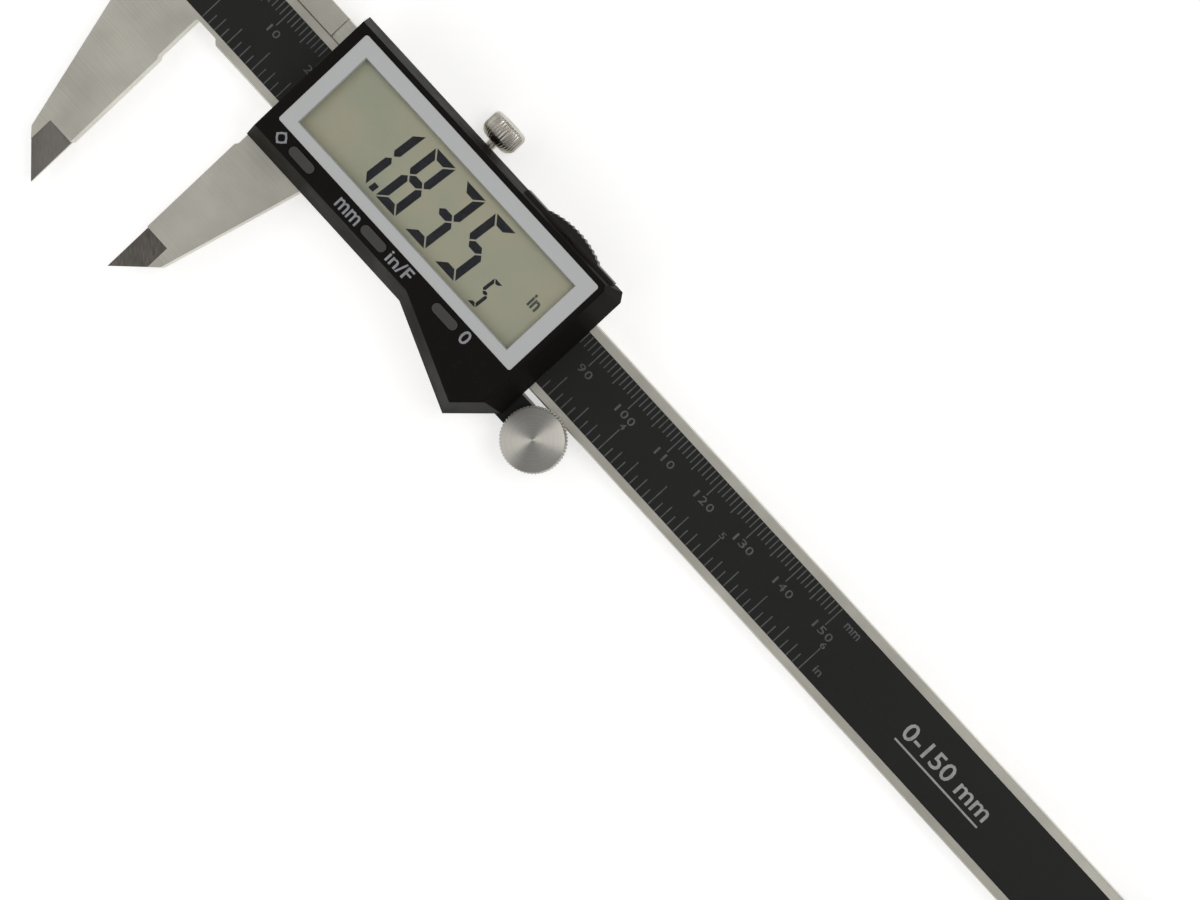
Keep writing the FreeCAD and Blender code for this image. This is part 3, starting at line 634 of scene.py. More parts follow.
class Shapes:
    """Closed shapes in millimetres, added to a bmesh."""

    @staticmethod
    def prism(bm: bmesh.types.BMesh, outline: Outline, heights: Span) -> None:
        """Adds a straight prism over an outline.

        Args:
            bm: the mesh it goes to.
            outline: its corners, anticlockwise.
            heights: foot and top.
        """
        low = [bm.verts.new((x, y, heights[0])) for x, y in outline]
        high = [bm.verts.new((x, y, heights[1])) for x, y in outline]
        bm.faces.new(list(reversed(low)))
        bm.faces.new(high)
        for a in range(len(outline)):
            b = (a + 1) % len(outline)
            bm.faces.new((low[a], low[b], high[b], high[a]))

    @staticmethod
    def block(bm: bmesh.types.BMesh, x: Span, y: Span, heights: Span) -> None:
        """Adds a prism over a rectangle."""
        Shapes.prism(bm, [(x[0], y[0]), (x[1], y[0]), (x[1], y[1]), (x[0], y[1])], heights)

    @staticmethod
    def band(bm: bmesh.types.BMesh, outer: Outline, inner: Outline, heights: Span) -> None:
        """Adds a closed band between two outlines.

        Args:
            bm: the mesh it goes to.
            outer: the outer outline, anticlockwise.
            inner: the inner outline, with as many points.
            heights: foot and top.
        """
        loops = [[bm.verts.new((x, y, z)) for x, y in line] for line in (outer, inner) for z in heights]
        outer_low, outer_high, inner_low, inner_high = loops
        for a in range(len(outer)):
            b = (a + 1) % len(outer)
            bm.faces.new((outer_low[a], outer_low[b], outer_high[b], outer_high[a]))
            bm.faces.new((inner_low[b], inner_low[a], inner_high[a], inner_high[b]))
            bm.faces.new((outer_high[a], outer_high[b], inner_high[b], inner_high[a]))
            bm.faces.new((inner_low[a], inner_low[b], outer_low[b], outer_low[a]))

    @staticmethod
    def turned(bm: bmesh.types.BMesh, rings: Sequence[Ring], segments: int,
               wave: Callable[[float, float], float] | None = None) -> None:
        """Adds a turned shape about the z axis.

        Args:
            bm: the mesh it goes to.
            rings: from the middle of one end to the middle of the other; a radius of 0 is a point.
            segments: steps round the axis.
            wave: 0 to 1 for an angle and a height, which scales each ring's cut.
        """
        loops = []
        for ring in rings:
            if ring.radius == 0:
                loops.append([bm.verts.new((0, 0, ring.height))] * segments)
                continue
            loop = []
            for i in range(segments):
                angle = math.tau * i / segments
                r = ring.radius - (ring.cut * wave(angle, ring.height) if wave else 0.0)
                loop.append(bm.verts.new((r * math.cos(angle), r * math.sin(angle), ring.height)))
            loops.append(loop)
        for near, far in zip(loops, loops[1:]):
            for a in range(segments):
                b = (a + 1) % segments
                corners = list(dict.fromkeys((near[a], near[b], far[b], far[a])))
                bm.faces.new(corners)

    @staticmethod
    def lettering(bm: bmesh.types.BMesh, word: Word, heights: Span) -> None:
        """Adds a word as closed raised letters.

        Args:
            bm: the mesh it goes to.
            word: what it says, and where.
            heights: foot and top of the letters.
        """
        curve = bpy.data.curves.new("lettering", "FONT")
        curve.body = word.text
        curve.offset = word.weight
        curve.resolution_u = 3
        typed = bpy.data.objects.new("lettering", curve)
        flat = bpy.data.meshes.new_from_object(typed)
        letters = bmesh.new()
        letters.from_mesh(flat)
        bmesh.ops.remove_doubles(letters, verts=letters.verts, dist=1e-5)
        xs = [v.co.x for v in letters.verts]
        ys = [v.co.y for v in letters.verts]
        wide, tall = word.size[0] / (max(xs) - min(xs)), word.size[1] / (max(ys) - min(ys))
        for v in letters.verts:
            v.co.x = word.middle[0] + (v.co.x - (max(xs) + min(xs)) / 2) * wide
            v.co.y = word.middle[1] + (v.co.y - (max(ys) + min(ys)) / 2) * tall
            v.co.z = heights[0]
        top = bmesh.ops.extrude_face_region(letters, geom=list(letters.faces), use_keep_orig=True)["geom"]
        for v in (g for g in top if isinstance(g, bmesh.types.BMVert)):
            v.co.z = heights[1]
        solid = bpy.data.meshes.new("lettering")
        bmesh.ops.recalc_face_normals(letters, faces=letters.faces)
        letters.to_mesh(solid)
        letters.free()
        bm.from_mesh(solid)
        for block in (typed, flat, curve, solid):
            bpy.data.batch_remove([block])


class Workshop:
    """Turns shapes into pieces of the object, and dresses the CAD nodes."""

    def __init__(self, materials: dict[str, bpy.types.Material]) -> None:
        """Looks up the slot and the body of each CAD node.

        Args:
            materials: every finish, by name.
        """
        self.materials = materials
        self.slot_of = {part["node"]: part["material_slot"] for part in frame["record"]["subparts"]}
        bodies = frame["record"]["behaviour"]["bodies"]
        self.body_of = {node: body for body, nodes in bodies.items() for node in nodes}

    def dress_nodes(self) -> None:
        """Gives every CAD node the material of its slot."""
        for name, node in frame["nodes"].items():
            node.data.materials.clear()
            node.data.materials.append(self.materials[self.slot_of[name]])

    def piece(self, name: str, mesh: bpy.types.Mesh, body: str, slot: str, materials: Sequence[str],
              sharp: float = 32.0) -> bpy.types.Object:
        """Makes an object of a mesh that is already in its place.

        Args:
            name: the piece's name.
            mesh: its mesh, in metres in the row frame.
            body: the CAD body it rides on.
            slot: the record's material slot; not used.
            materials: the names of its materials, in the order of its faces' numbers.
            sharp: edges sharper than this many degrees stay crisp.

        Returns:
            The object.
        """
        for material in materials:
            mesh.materials.append(self.materials[material])
        mesh.shade_smooth()
        mesh.set_sharp_from_angle(angle=math.radians(sharp))
        thing = bpy.data.objects.new(name, mesh)
        bpy.context.scene.collection.objects.link(thing)
        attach(thing, body)
        return thing

    def from_shape(self, name: str, bm: bmesh.types.BMesh, seat: Matrix, body: str, slot: str,
                   materials: Sequence[str] = (), sharp: float = 32.0) -> bpy.types.Object:
        """Makes a piece of a shape drawn in millimetres.

        Args:
            name: the piece's name.
            bm: the shape, which is used up.
            seat: where its zero goes, in metres in the row frame.
            body: the CAD body it rides on.
            slot: the record's material slot it belongs to.
            materials: its materials, or none for the slot's own.
            sharp: edges sharper than this many degrees stay crisp.

        Returns:
            The object.
        """
        bmesh.ops.recalc_face_normals(bm, faces=bm.faces)
        bm.transform(seat @ Matrix.Scale(MM, 4))
        mesh = bpy.data.meshes.new(name)
        bm.to_mesh(mesh)
        bm.free()
        return self.piece(name, mesh, body, slot, list(materials) or [slot], sharp)

    def refined(self, node: str, corner: float, extra: str = "",
                where: Callable[[Vector, Vector], bool] | None = None) -> bpy.types.Object:
        """Makes a piece of a CAD node's form with softened corners.

        Args:
            node: the CAD node it stands for.
            corner: width of the softened corners in millimetres.
            extra: a second material.
            where: says of a face's middle and normal whether it has the second material.

        Returns:
            The object.
        """
        bm = bmesh.new()
        bm.from_mesh(frame["nodes"][node].data)
        bmesh.ops.remove_doubles(bm, verts=bm.verts, dist=1e-6)
        bmesh.ops.dissolve_limit(bm, angle_limit=math.radians(0.4), verts=bm.verts, edges=bm.edges)
        bmesh.ops.connect_verts_concave(bm, faces=bm.faces)
        for face in bm.faces:
            face.material_index = int(bool(where) and where(face.calc_center_median(), face.normal))
        mesh = bpy.data.meshes.new(f"{node}_dressed")
        bm.to_mesh(mesh)
        bm.free()
        slot = self.slot_of[node]
        thing = self.piece(mesh.name, mesh, self.body_of[node], slot, [slot] + [extra] * bool(extra))
        bevel = thing.modifiers.new("soft corners", "BEVEL")
        bevel.width = corner * MM
        bevel.segments = 2
        bevel.limit_method = "ANGLE"
        bevel.angle_limit = math.radians(34.0)
        bevel.use_clamp_overlap = True
        shading = thing.modifiers.new("even flats", "WEIGHTED_NORMAL")
        shading.weight = 100
        shading.keep_sharp = True
        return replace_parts(thing, node)


@dataclass(frozen=True)
class Datum:
    """The zero marks that sizes are counted from, in metres in the row frame."""

    beam: Vector
    slider: Vector

    BEAM_END: ClassVar[float] = 226.0
    BEZEL_START: ClassVar[float] = 3.65

    @classmethod
    def measured(cls) -> "Datum":
        """Reads the marks off the CAD's beam, its label and the frame round the display.

        Returns:
            The zero marks.
        """
        low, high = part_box("scale_label")
        middle = (low.y + high.y) / 2
        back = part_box("beam")[0].z
        beam_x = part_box("beam")[1].x - cls.BEAM_END * MM
        slider_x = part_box("display_bezel")[0].x - cls.BEZEL_START * MM
        return cls(Vector((beam_x, middle, back)), Vector((slider_x, middle, back)))

    def on_beam(self, x: float = 0.0, y: float = 0.0, z: float = 0.0) -> Matrix:
        """A seat at a place in millimetres from the beam's zero."""
        return Matrix.Translation(self.beam + Vector((x, y, z)) * MM)

    def on_slider(self, x: float = 0.0, y: float = 0.0, z: float = 0.0) -> Matrix:
        """A seat at a place in millimetres from the slider's zero."""
        return Matrix.Translation(self.slider + Vector((x, y, z)) * MM)


@dataclass(frozen=True)
class GroundTip:
    """Tells the faces of the ground recess at an outside jaw's tip, which lie low on the jaw and lean."""

    zero: Vector
    top: float = -37.9
    lean: Span = (0.1, 0.995)

    def __call__(self, middle: Vector, normal: Vector) -> bool:
        """Whether a face with this middle and normal belongs to the recess."""
        at = (middle - self.zero) / MM
        return at.y < self.top and self.lean[0] < normal.z < self.lean[1]


# ---- sub-assemblies ---------------------------------------------------------------------------
# Sizes are in millimetres, and places are counted from the beam's zero or the slider's.
@dataclass
class BeamAssembly:
    """Beam with the fixed jaw and blade, its printed scale and its end stop."""

    shop: Workshop
    datum: Datum
    corner: float = 0.12
    stop_corner: float = 0.1
    face: float = 3.45
    relief: float = 0.012
    half_label: float = 6.3
    tick: float = 0.21
    metric_to: dict[int, float] = field(default_factory=lambda: {10: 2.2, 5: 3.2, 1: 3.9})
    inch_to: dict[int, float] = field(default_factory=lambda: {16: -1.2, 8: -1.8, 4: -2.6, 2: -3.5, 1: -4.25})
    metric_length: int = 150
    metric_step: int = 10
    inch_length: int = 6
    inch_parts: int = 16
    digit: tuple[float, float] = (1.28, 1.45)
    digit_gap: float = 0.42
    digit_weight: float = 0.008
    slim_one: float = 0.32
    metric_digits_at: tuple[float, float] = (0.3, 1.15)
    inch_digit: tuple[float, float] = (1.0, 1.15)
    inch_digits_y: float = -0.45
    units: tuple[Word, ...] = (Word("mm", (154.0, 4.75), (3.3, 1.15)), Word("in", (155.0, -4.1), (1.6, 1.35)))
    range_word: Word = Word("0-150 mm", (182.5, 0.6), (20.5, 3.3), 0.012)
    range_line: tuple[Span, Span] = ((172.2, 192.8), (-2.3, -1.95))

    def heights(self) -> Span:
        """Foot and top of the print."""
        return self.face - self.relief, self.face + self.relief

    def printed(self, name: str, bm: bmesh.types.BMesh, ink: str) -> bpy.types.Object:
        """Lays a print on the label."""
        seat = self.datum.on_beam()
        return self.shop.from_shape(name, bm, seat, "beam_assembly", "scale_print", [ink])

    def line(self, bm: bmesh.types.BMesh, x: float, across: Span) -> None:
        """Adds one graduation."""
        Shapes.block(bm, (x - self.tick / 2, x + self.tick / 2), across, self.heights())

    @staticmethod
    def reach(lengths: dict[int, float], mark: int) -> float:
        """How far a graduation reaches: that of the largest step that its number divides by."""
        return next(to for step, to in lengths.items() if mark % step == 0)

    def ticks(self) -> bpy.types.Object:
        """Both rows of graduations; the inch row starts with one as long as a half inch's.

        Returns:
            The graduations.
        """
        bm = bmesh.new()
        for mark in range(self.metric_length + 1):
            self.line(bm, mark, (self.reach(self.metric_to, mark), self.half_label))
        for mark in range(self.inch_length * self.inch_parts + 1):
            reach = self.reach(self.inch_to, mark or self.inch_parts // 2)
            self.line(bm, mark * INCH / self.inch_parts, (-self.half_label, reach))
        return self.printed("scale_graduations", bm, "scale_ink")

    def number(self, bm: bmesh.types.BMesh, text: str, middle: tuple[float, float]) -> None:
        """Adds a number in evenly spaced digits.

        Args:
            bm: the mesh it goes to.
            text: the number.
            middle: its middle.
        """
        width, height = self.digit
        for i, digit in enumerate(text):
            x = middle[0] + (i - (len(text) - 1) / 2) * (width + self.digit_gap)
            wide = width * (self.slim_one if digit == "1" else 1.0)
            word = Word(digit, (x, middle[1]), (wide, height), self.digit_weight)
            Shapes.lettering(bm, word, self.heights())

    def numbers(self) -> bpy.types.Object:
        """Millimetres under the upper row, inches over the lower row, and the units.

        Returns:
            The numbers and units.
        """
        bm = bmesh.new()
        shift, metric_y = self.metric_digits_at
        for mark in range(0, self.metric_length + 1, self.metric_step):
            self.number(bm, str(mark), (mark + shift, metric_y))
        inches = [Word(str(mark), (mark * INCH, self.inch_digits_y), self.inch_digit)
                  for mark in range(1, self.inch_length + 1)]
        for word in (*inches, *self.units):
            Shapes.lettering(bm, word, self.heights())
        return self.printed("scale_numbers", bm, "scale_ink")

    def range_mark(self) -> bpy.types.Object:
        """The measuring range in larger print towards the beam's end, over a thin line.

        Returns:
            The mark.
        """
        bm = bmesh.new()
        Shapes.lettering(bm, self.range_word, self.heights())
        Shapes.block(bm, *self.range_line, self.heights())
        return self.printed("range_mark", bm, "range_ink")

    def build(self) -> list[bpy.types.Object]:
        """Builds the pieces of the beam.

        Returns:
            The pieces.
        """
        return [
            self.shop.refined("beam", self.corner, "ground_tip", GroundTip(self.datum.beam)),
            self.shop.refined("beam_end_stop", self.stop_corner),
            self.ticks(),
            self.numbers(),
            self.range_mark(),
        ]


@dataclass
class SliderAssembly:
    """Slider's steel, black cover, silver frame and the print on the cover."""

    shop: Workshop
    datum: Datum
    frame_corner: float = 0.12
    corners: dict[str, float] = field(default_factory=lambda: {
        "back_plate": 0.12, "front_cover": 0.16, "display_bezel": 0.1, "depth_rod": 0.08, "roller_arm": 0.12})
    face: float = 13.2
    relief: float = 0.012
    words: tuple[Word, ...] = (
        Word("mm", (23.5, -9.45), (5.2, 1.9), 0.012),
        Word("in/F", (36.4, -9.2), (5.5, 2.4), 0.012),
        Word("0", (52.9, -9.2), (1.75, 2.5), 0.012),
    )
    sign_at: tuple[float, float] = (6.5, -9.3)
    sign_outer: tuple[float, float] = (1.02, 0.28)
    sign_inner: tuple[float, float] = (0.66, 0.1)
    sign_steps: int = 16

    def sign_line(self, radius: float, point: float) -> list[tuple[float, float]]:
        """One outline of the power key's sign.

        Args:
            radius: how far its sides are from its middle.
            point: how much further its four corners are.

        Returns:
            Its points, anticlockwise.
        """
        turns = [math.tau * i / self.sign_steps for i in range(self.sign_steps)]
        reach = [radius + point * max(0.0, math.cos(4 * turn)) for turn in turns]
        return [(self.sign_at[0] + r * math.cos(turn), self.sign_at[1] + r * math.sin(turn))
                for r, turn in zip(reach, turns)]

    def legends(self) -> bpy.types.Object:
        """The words beside the keys and the sign of the power key.

        Returns:
            The legends.
        """
        bm = bmesh.new()
        heights = (self.face - self.relief, self.face + self.relief)
        for word in self.words:
            Shapes.lettering(bm, word, heights)
        Shapes.band(bm, self.sign_line(*self.sign_outer), self.sign_line(*self.sign_inner), heights)
        seat = self.datum.on_slider()
        return self.shop.from_shape("key_legends", bm, seat, "slider_assembly", "cover_plastic",
                                    ["legend_ink"])

    def build(self) -> list[bpy.types.Object]:
        """Builds the pieces of the slider.

        Returns:
            The pieces.
        """
        pieces = [self.shop.refined(node, corner) for node, corner in self.corners.items()]
        tip = GroundTip(self.datum.slider)
        # The slider's ground tip takes a darker copy of the ground steel: painted shade, not a colour of its
        # own.
        pieces.append(self.shop.refined("slider_frame", self.frame_corner, "slider_tip_painted_shade", tip))
        pieces.append(self.legends())
        return pieces


class Bar(Enum):
    """The bars of a seven-bar figure."""

    TOP = "a"
    UPPER_RIGHT = "b"
    LOWER_RIGHT = "c"
    BOTTOM = "d"
    LOWER_LEFT = "e"
    UPPER_LEFT = "f"
    MIDDLE = "g"


@dataclass(frozen=True)
class Figure:
    """A seven-bar figure: its size, stroke, gap and slant in millimetres."""

    width: float
    height: float
    stroke: float
    gap: float
    slant: float = 0.1

    BARS: ClassVar[dict[str, str]] = {"1": "bc", "3": "abgcd", "5": "afgcd", "8": "abcdefg"}

    def outline(self, bar: Bar) -> list[tuple[float, float]]:
        """The upright outline of one bar.

        Args:
            bar: which bar.

        Returns:
            Its corners.
        """
        w, h, t, g = self.width, self.height, self.stroke, self.gap
        m = h / 2
        right = [(w, h - g), (w, m + t / 2 + g), (w - t / 2, m + g), (w - t, m + t / 2 + g),
                 (w - t, h - t - g)]
        top = [(g, h), (w - g, h), (w - t - g, h - t), (t + g, h - t)]
        flip_x = [(w - x, y) for x, y in right]
        return {
            Bar.TOP: top,
            Bar.UPPER_RIGHT: right,
            Bar.LOWER_RIGHT: [(x, h - y) for x, y in right],
            Bar.BOTTOM: [(x, h - y) for x, y in top],
            Bar.LOWER_LEFT: [(x, h - y) for x, y in flip_x],
            Bar.UPPER_LEFT: flip_x,
            Bar.MIDDLE: [(t / 2 + g, m), (t + g, m + t / 2), (w - t - g, m + t / 2), (w - t / 2 - g, m),
                         (w - t - g, m - t / 2), (t + g, m - t / 2)],
        }[bar]

    def draw(self, bm: bmesh.types.BMesh, digit: str, corner: tuple[float, float], heights: Span) -> None:
        """Adds a digit as thin closed bars.

        Args:
            bm: the mesh it goes to.
            digit: which digit.
            corner: its lower left corner.
            heights: foot and top of the bars.
        """
        for letter in self.BARS[digit]:
            slanted = [(corner[0] + x + self.slant * y, corner[1] + y) for x, y in self.outline(Bar(letter))]
            Shapes.prism(bm, slanted, heights)


@dataclass
class Readout:
    """The figures that the display shows."""

    shop: Workshop
    datum: Datum
    large: Figure = Figure(5.0, 13.3, 1.5, 0.2)
    small: Figure = Figure(1.95, 6.0, 0.62, 0.12)
    face: float = 11.4
    relief: float = 0.02
    digits: str = "1835"
    first_at: tuple[float, float] = (16.85, -4.3)
    pitch: float = 7.55
    point: Outline = ((22.6, -4.2), (23.7, -4.2), (23.85, -2.8), (22.75, -2.8))
    last_digit: str = "5"
    last_at: tuple[float, float] = (48.2, -4.7)
    unit_word: Word = Word("in", (56.6, 3.45), (2.0, 2.5), 0.03)

    def heights(self) -> Span:
        """Foot and top of the figures."""
        return self.face - self.relief, self.face + self.relief

    def shown(self, name: str, bm: bmesh.types.BMesh, ink: str) -> bpy.types.Object:
        """Lays figures on the display."""
        seat = self.datum.on_slider()
        return self.shop.from_shape(name, bm, seat, "slider_assembly", "display_glass", [ink])

    def figures(self) -> bpy.types.Object:
        """The reading with its point and its small last figure.

        Returns:
            The figures.
        """
        bm = bmesh.new()
        x, y = self.first_at
        for i, digit in enumerate(self.digits):
            self.large.draw(bm, digit, (x + i * self.pitch, y), self.heights())
        Shapes.prism(bm, self.point, self.heights())
        self.small.draw(bm, self.last_digit, self.last_at, self.heights())
        return self.shown("display_figures", bm, "display_ink")

    def unit(self) -> bpy.types.Object:
        """The paler unit at the display's right edge.

        Returns:
            The unit.
        """
        bm = bmesh.new()
        Shapes.lettering(bm, self.unit_word, self.heights())
        return self.shown("display_unit", bm, "faint_ink")

    def build(self) -> list[bpy.types.Object]:
        """Builds the figures and the unit."""
        return [self.figures(), self.unit()]


@dataclass
class Keys:
    """The three keys, each on its own body."""

    shop: Workshop
    names: tuple[str, ...] = ("power_button", "unit_button", "zero_button")
    rim: float = 0.22

    def build(self) -> list[bpy.types.Object]:
        """Builds the keys with rounded rims."""
        return [self.shop.refined(name, self.rim) for name in self.names]


@dataclass
class ThumbRoller:
    """Drum that runs on the beam's edge, with a finely knurled flange over its front."""

    shop: Workshop
    datum: Datum
    at: tuple[float, float] = (73.0, -13.2)
    knurls: int = 60
    cut: float = 0.22
    steps_per_knurl: int = 4
    sharp: float = 28.0

    def wave(self, angle: float, height: float) -> float:
        """Sharp grooves round the rim."""
        return abs((angle * self.knurls / math.tau) % 1.0 - 0.5) * 2

    def build(self) -> list[bpy.types.Object]:
        """Builds the roller.

        Returns:
            The one piece.
        """
        bm = bmesh.new()
        c = self.cut
        rings = [
            Ring(0.0, 6.8), Ring(0.35, 6.78), Ring(2.5, 6.8), Ring(5.35, 6.8), Ring(5.6, 6.7, 0.1 * c),
            Ring(5.82, 6.42, 0.8 * c), Ring(5.9, 6.15, c), Ring(5.9, 4.25, c), Ring(5.82, 3.98, 0.8 * c),
            Ring(5.6, 3.7, 0.1 * c), Ring(5.4, 3.62), Ring(5.17, 3.6), Ring(5.17, 0.45), Ring(4.92, 0.2),
            Ring(1.3, 0.2), Ring(1.06, 0.4), Ring(1.06, 5.1), Ring(0.0, 5.1),
        ]
        Shapes.turned(bm, rings, self.knurls * self.steps_per_knurl, self.wave)
        seat = self.datum.on_slider(*self.at)
        roller = self.shop.from_shape("thumb_roller_dressed", bm, seat, "roller_body", "roller_metal",
                                      sharp=self.sharp)
        return [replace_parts(roller, "thumb_roller")]


@dataclass
class LockScrew:
    """Thumb screw with a knurled head and a threaded shank."""

    shop: Workshop
    datum: Datum
    at: tuple[float, float] = (30.5, 2.35)
    knurls: int = 36
    cut: float = 0.16
    steps_per_knurl: int = 8
    pitch: float = 0.4
    steps_per_pitch: int = 4
    thread: float = 0.14
    shank: float = 1.0
    shank_span: Span = (9.05, 15.6)
    shank_steps: int = 24
    sharp: float = 40.0

    def head_wave(self, angle: float, height: float) -> float:
        """Round-bottomed grooves along the head."""
        return 0.5 - 0.5 * math.cos(angle * self.knurls)

    def thread_wave(self, angle: float, height: float) -> float:
        """One groove that climbs a pitch a turn."""
        return abs((height / self.pitch - angle / math.tau) % 1.0 - 0.5) * 2

    def build(self) -> list[bpy.types.Object]:
        """Builds the screw upright and lays it along y.

        Returns:
            The one piece.
        """
        bm = bmesh.new()
        c = self.cut
        head = [
            Ring(0.0, 20.52), Ring(1.4, 20.54), Ring(1.7, 20.7), Ring(2.8, 20.7), Ring(3.15, 20.58, 0.2 * c),
            Ring(3.48, 20.22, 0.8 * c), Ring(3.6, 19.8, c), Ring(3.6, 17.5, c), Ring(3.45, 17.05, 0.8 * c),
            Ring(2.9, 16.4, 0.4 * c), Ring(2.3, 16.1), Ring(0.98, 16.1), Ring(0.98, 15.4), Ring(0.0, 15.4),
        ]
        Shapes.turned(bm, head, self.knurls * self.steps_per_knurl, self.head_wave)
        start, end = self.shank_span
        steps = round((end - start) / self.pitch * self.steps_per_pitch)
        levels = [end - (end - start) * i / steps for i in range(steps + 1)]
        shank = [Ring(0.0, end)] + [Ring(self.shank, z, self.thread) for z in levels] + [Ring(0.0, start)]
        Shapes.turned(bm, shank, self.shank_steps, self.thread_wave)
        lying = Matrix.Rotation(-math.pi / 2, 4, "X")
        seat = self.datum.on_slider(self.at[0], 0.0, self.at[1]) @ lying
        screw = self.shop.from_shape("lock_screw_dressed", bm, seat, "lock_body", "lock_metal",
                                     sharp=self.sharp)
        return [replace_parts(screw, "lock_screw")]


@dataclass
class BatteryDrawer:
    """The tray that slides out with the cell."""

    shop: Workshop
    corner: float = 0.12

    def build(self) -> list[bpy.types.Object]:
        """Builds the tray with softened corners."""
        return [self.shop.refined("battery_tray", self.corner)]


# ---- studio -----------------------------------------------------------------------------------
@dataclass(frozen=True)
class Softbox:
    """One large soft lamp: where it hangs in degrees, its size and distance in metres, and its brightness."""

    name: str
    azimuth: float
    elevation: float
    size: tuple[float, float]
    radiance: float
    distance: float = 0.75
    colour: Colour = (1.0, 1.0, 1.0)


@dataclass
class Studio:
    """Pale floor, soft lamps, even surroundings and the camera.

    The floor's size is in metres. Its gap to the object and the camera's places, counted from the beam's
    zero, are in millimetres, and the camera's roll is in radians.
    """

    datum: Datum
    lamps: tuple[Softbox, ...] = (
        Softbox("lamp_left", 222.0, 45.0, (1.15, 0.45), 1.0, colour=(1.0, 0.985, 0.96)),
        Softbox("lamp_right", 58.0, 62.0, (0.5, 0.3), 2.9, colour=(1.0, 0.985, 0.96)),
        Softbox("lamp_far", 137.0, 35.0, (0.4, 0.4), 0.3),
        Softbox("lamp_near", 317.0, 35.0, (0.4, 0.4), 0.3),
    )
    surroundings: float = 0.30
    floor_size: float = 40.0
    floor_gap: float = 0.05
    floor_glow: float = 0.55
    floor_tone: float = 0.76
    focal_length: float = 122.44
    eye: tuple[float, float, float] = (142.18, 60.82, 699.13)
    target: tuple[float, float, float] = (101.92, -6.07, 3.5)
    roll: float = 0.83

    def floor(self) -> bpy.types.Object:
        """A pale floor that keeps the object's shadow and looks white to the eye and in reflections.

        Returns:
            The floor.
        """
        half = self.floor_size / 2
        mesh = bpy.data.meshes.new("floor")
        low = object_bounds()[0].z - self.floor_gap * MM
        corners = [(-half, -half, low), (half, -half, low), (half, half, low), (-half, half, low)]
        mesh.from_pydata(corners, [], [(0, 1, 2, 3)])
        floor = bpy.data.objects.new("floor", mesh)
        bpy.context.scene.collection.objects.link(floor)
        material = bpy.data.materials.new("pale_floor")
        material.use_nodes = True
        w = Wiring(material.node_tree)
        w.tree.nodes.remove(w.tree.nodes["Principled BSDF"])
        rays = w.add("ShaderNodeLightPath").outputs
        straight = w.calc("ADD", rays["Is Camera Ray"], rays["Is Glossy Ray"])
        seen = w.calc("ADD", straight, rays["Is Transmission Ray"])
        strength = w.calc("MULTIPLY", seen, self.floor_glow)
        matt = w.add("ShaderNodeBsdfDiffuse", {"Color": (self.floor_tone,) * 3}).outputs[0]
        glow = w.add("ShaderNodeEmission", {"Strength": strength}).outputs[0]
        both = w.add("ShaderNodeAddShader", {0: matt, 1: glow}).outputs[0]
        w.feed(w.tree.nodes["Material Output"].inputs["Surface"], both)
        mesh.materials.append(material)
        floor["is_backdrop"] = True
        return floor

    def hang(self, box: Softbox) -> bpy.types.Object:
        """Hangs a lamp that faces the middle of the object.

        Args:
            box: the lamp.

        Returns:
            The lamp's object.
        """
        light = bpy.data.lights.new(box.name, "AREA")
        light.shape = "RECTANGLE"
        light.size, light.size_y = box.size
        light.color = box.colour
        light.energy = box.radiance * math.pi * box.size[0] * box.size[1]
        lamp = bpy.data.objects.new(box.name, light)
        around, up = math.radians(box.azimuth), math.radians(box.elevation)
        away = Vector((math.cos(around) * math.cos(up), math.sin(around) * math.cos(up), math.sin(up)))
        lamp.location = away * box.distance
        lamp.rotation_euler = away.to_track_quat("Z", "Y").to_euler()
        bpy.context.scene.collection.objects.link(lamp)
        return lamp

    def sky(self) -> None:
        """Even pale surroundings."""
        world = bpy.data.worlds.new("surroundings")
        world.use_nodes = True
        background = world.node_tree.nodes["Background"]
        background.inputs["Color"].default_value = (1.0, 1.0, 1.0, 1.0)
        background.inputs["Strength"].default_value = self.surroundings
        bpy.context.scene.world = world

    def camera(self) -> bpy.types.Object:
        """Sets the camera over the object, rolled so that the beam runs down to the right.

        Returns:
            The camera.
        """
        eye = self.datum.beam + Vector(self.eye) * MM
        back = (Vector(self.eye) - Vector(self.target)).normalized()
        level = (Vector((1.0, 0.0, 0.0)) - back * back.x).normalized()
        fall = (-back).cross(level)
        right = math.cos(self.roll) * level - math.sin(self.roll) * fall
        up = back.cross(right)
        data = bpy.data.cameras.new("camera")
        data.lens = self.focal_length
        data.sensor_width = 36.0
        data.clip_start, data.clip_end = 0.05, 20.0
        camera = bpy.data.objects.new("camera", data)
        camera.matrix_world = Matrix.Translation(eye) @ Matrix((right, up, back)).transposed().to_4x4()
        bpy.context.scene.collection.objects.link(camera)
        bpy.context.scene.camera = camera
        return camera

    def build(self) -> None:
        """Sets up the whole studio."""
        bpy.context.scene.view_settings.view_transform = "Standard"
        self.floor()
        for box in self.lamps:
            self.hang(box)
        self.sky()
        self.camera()


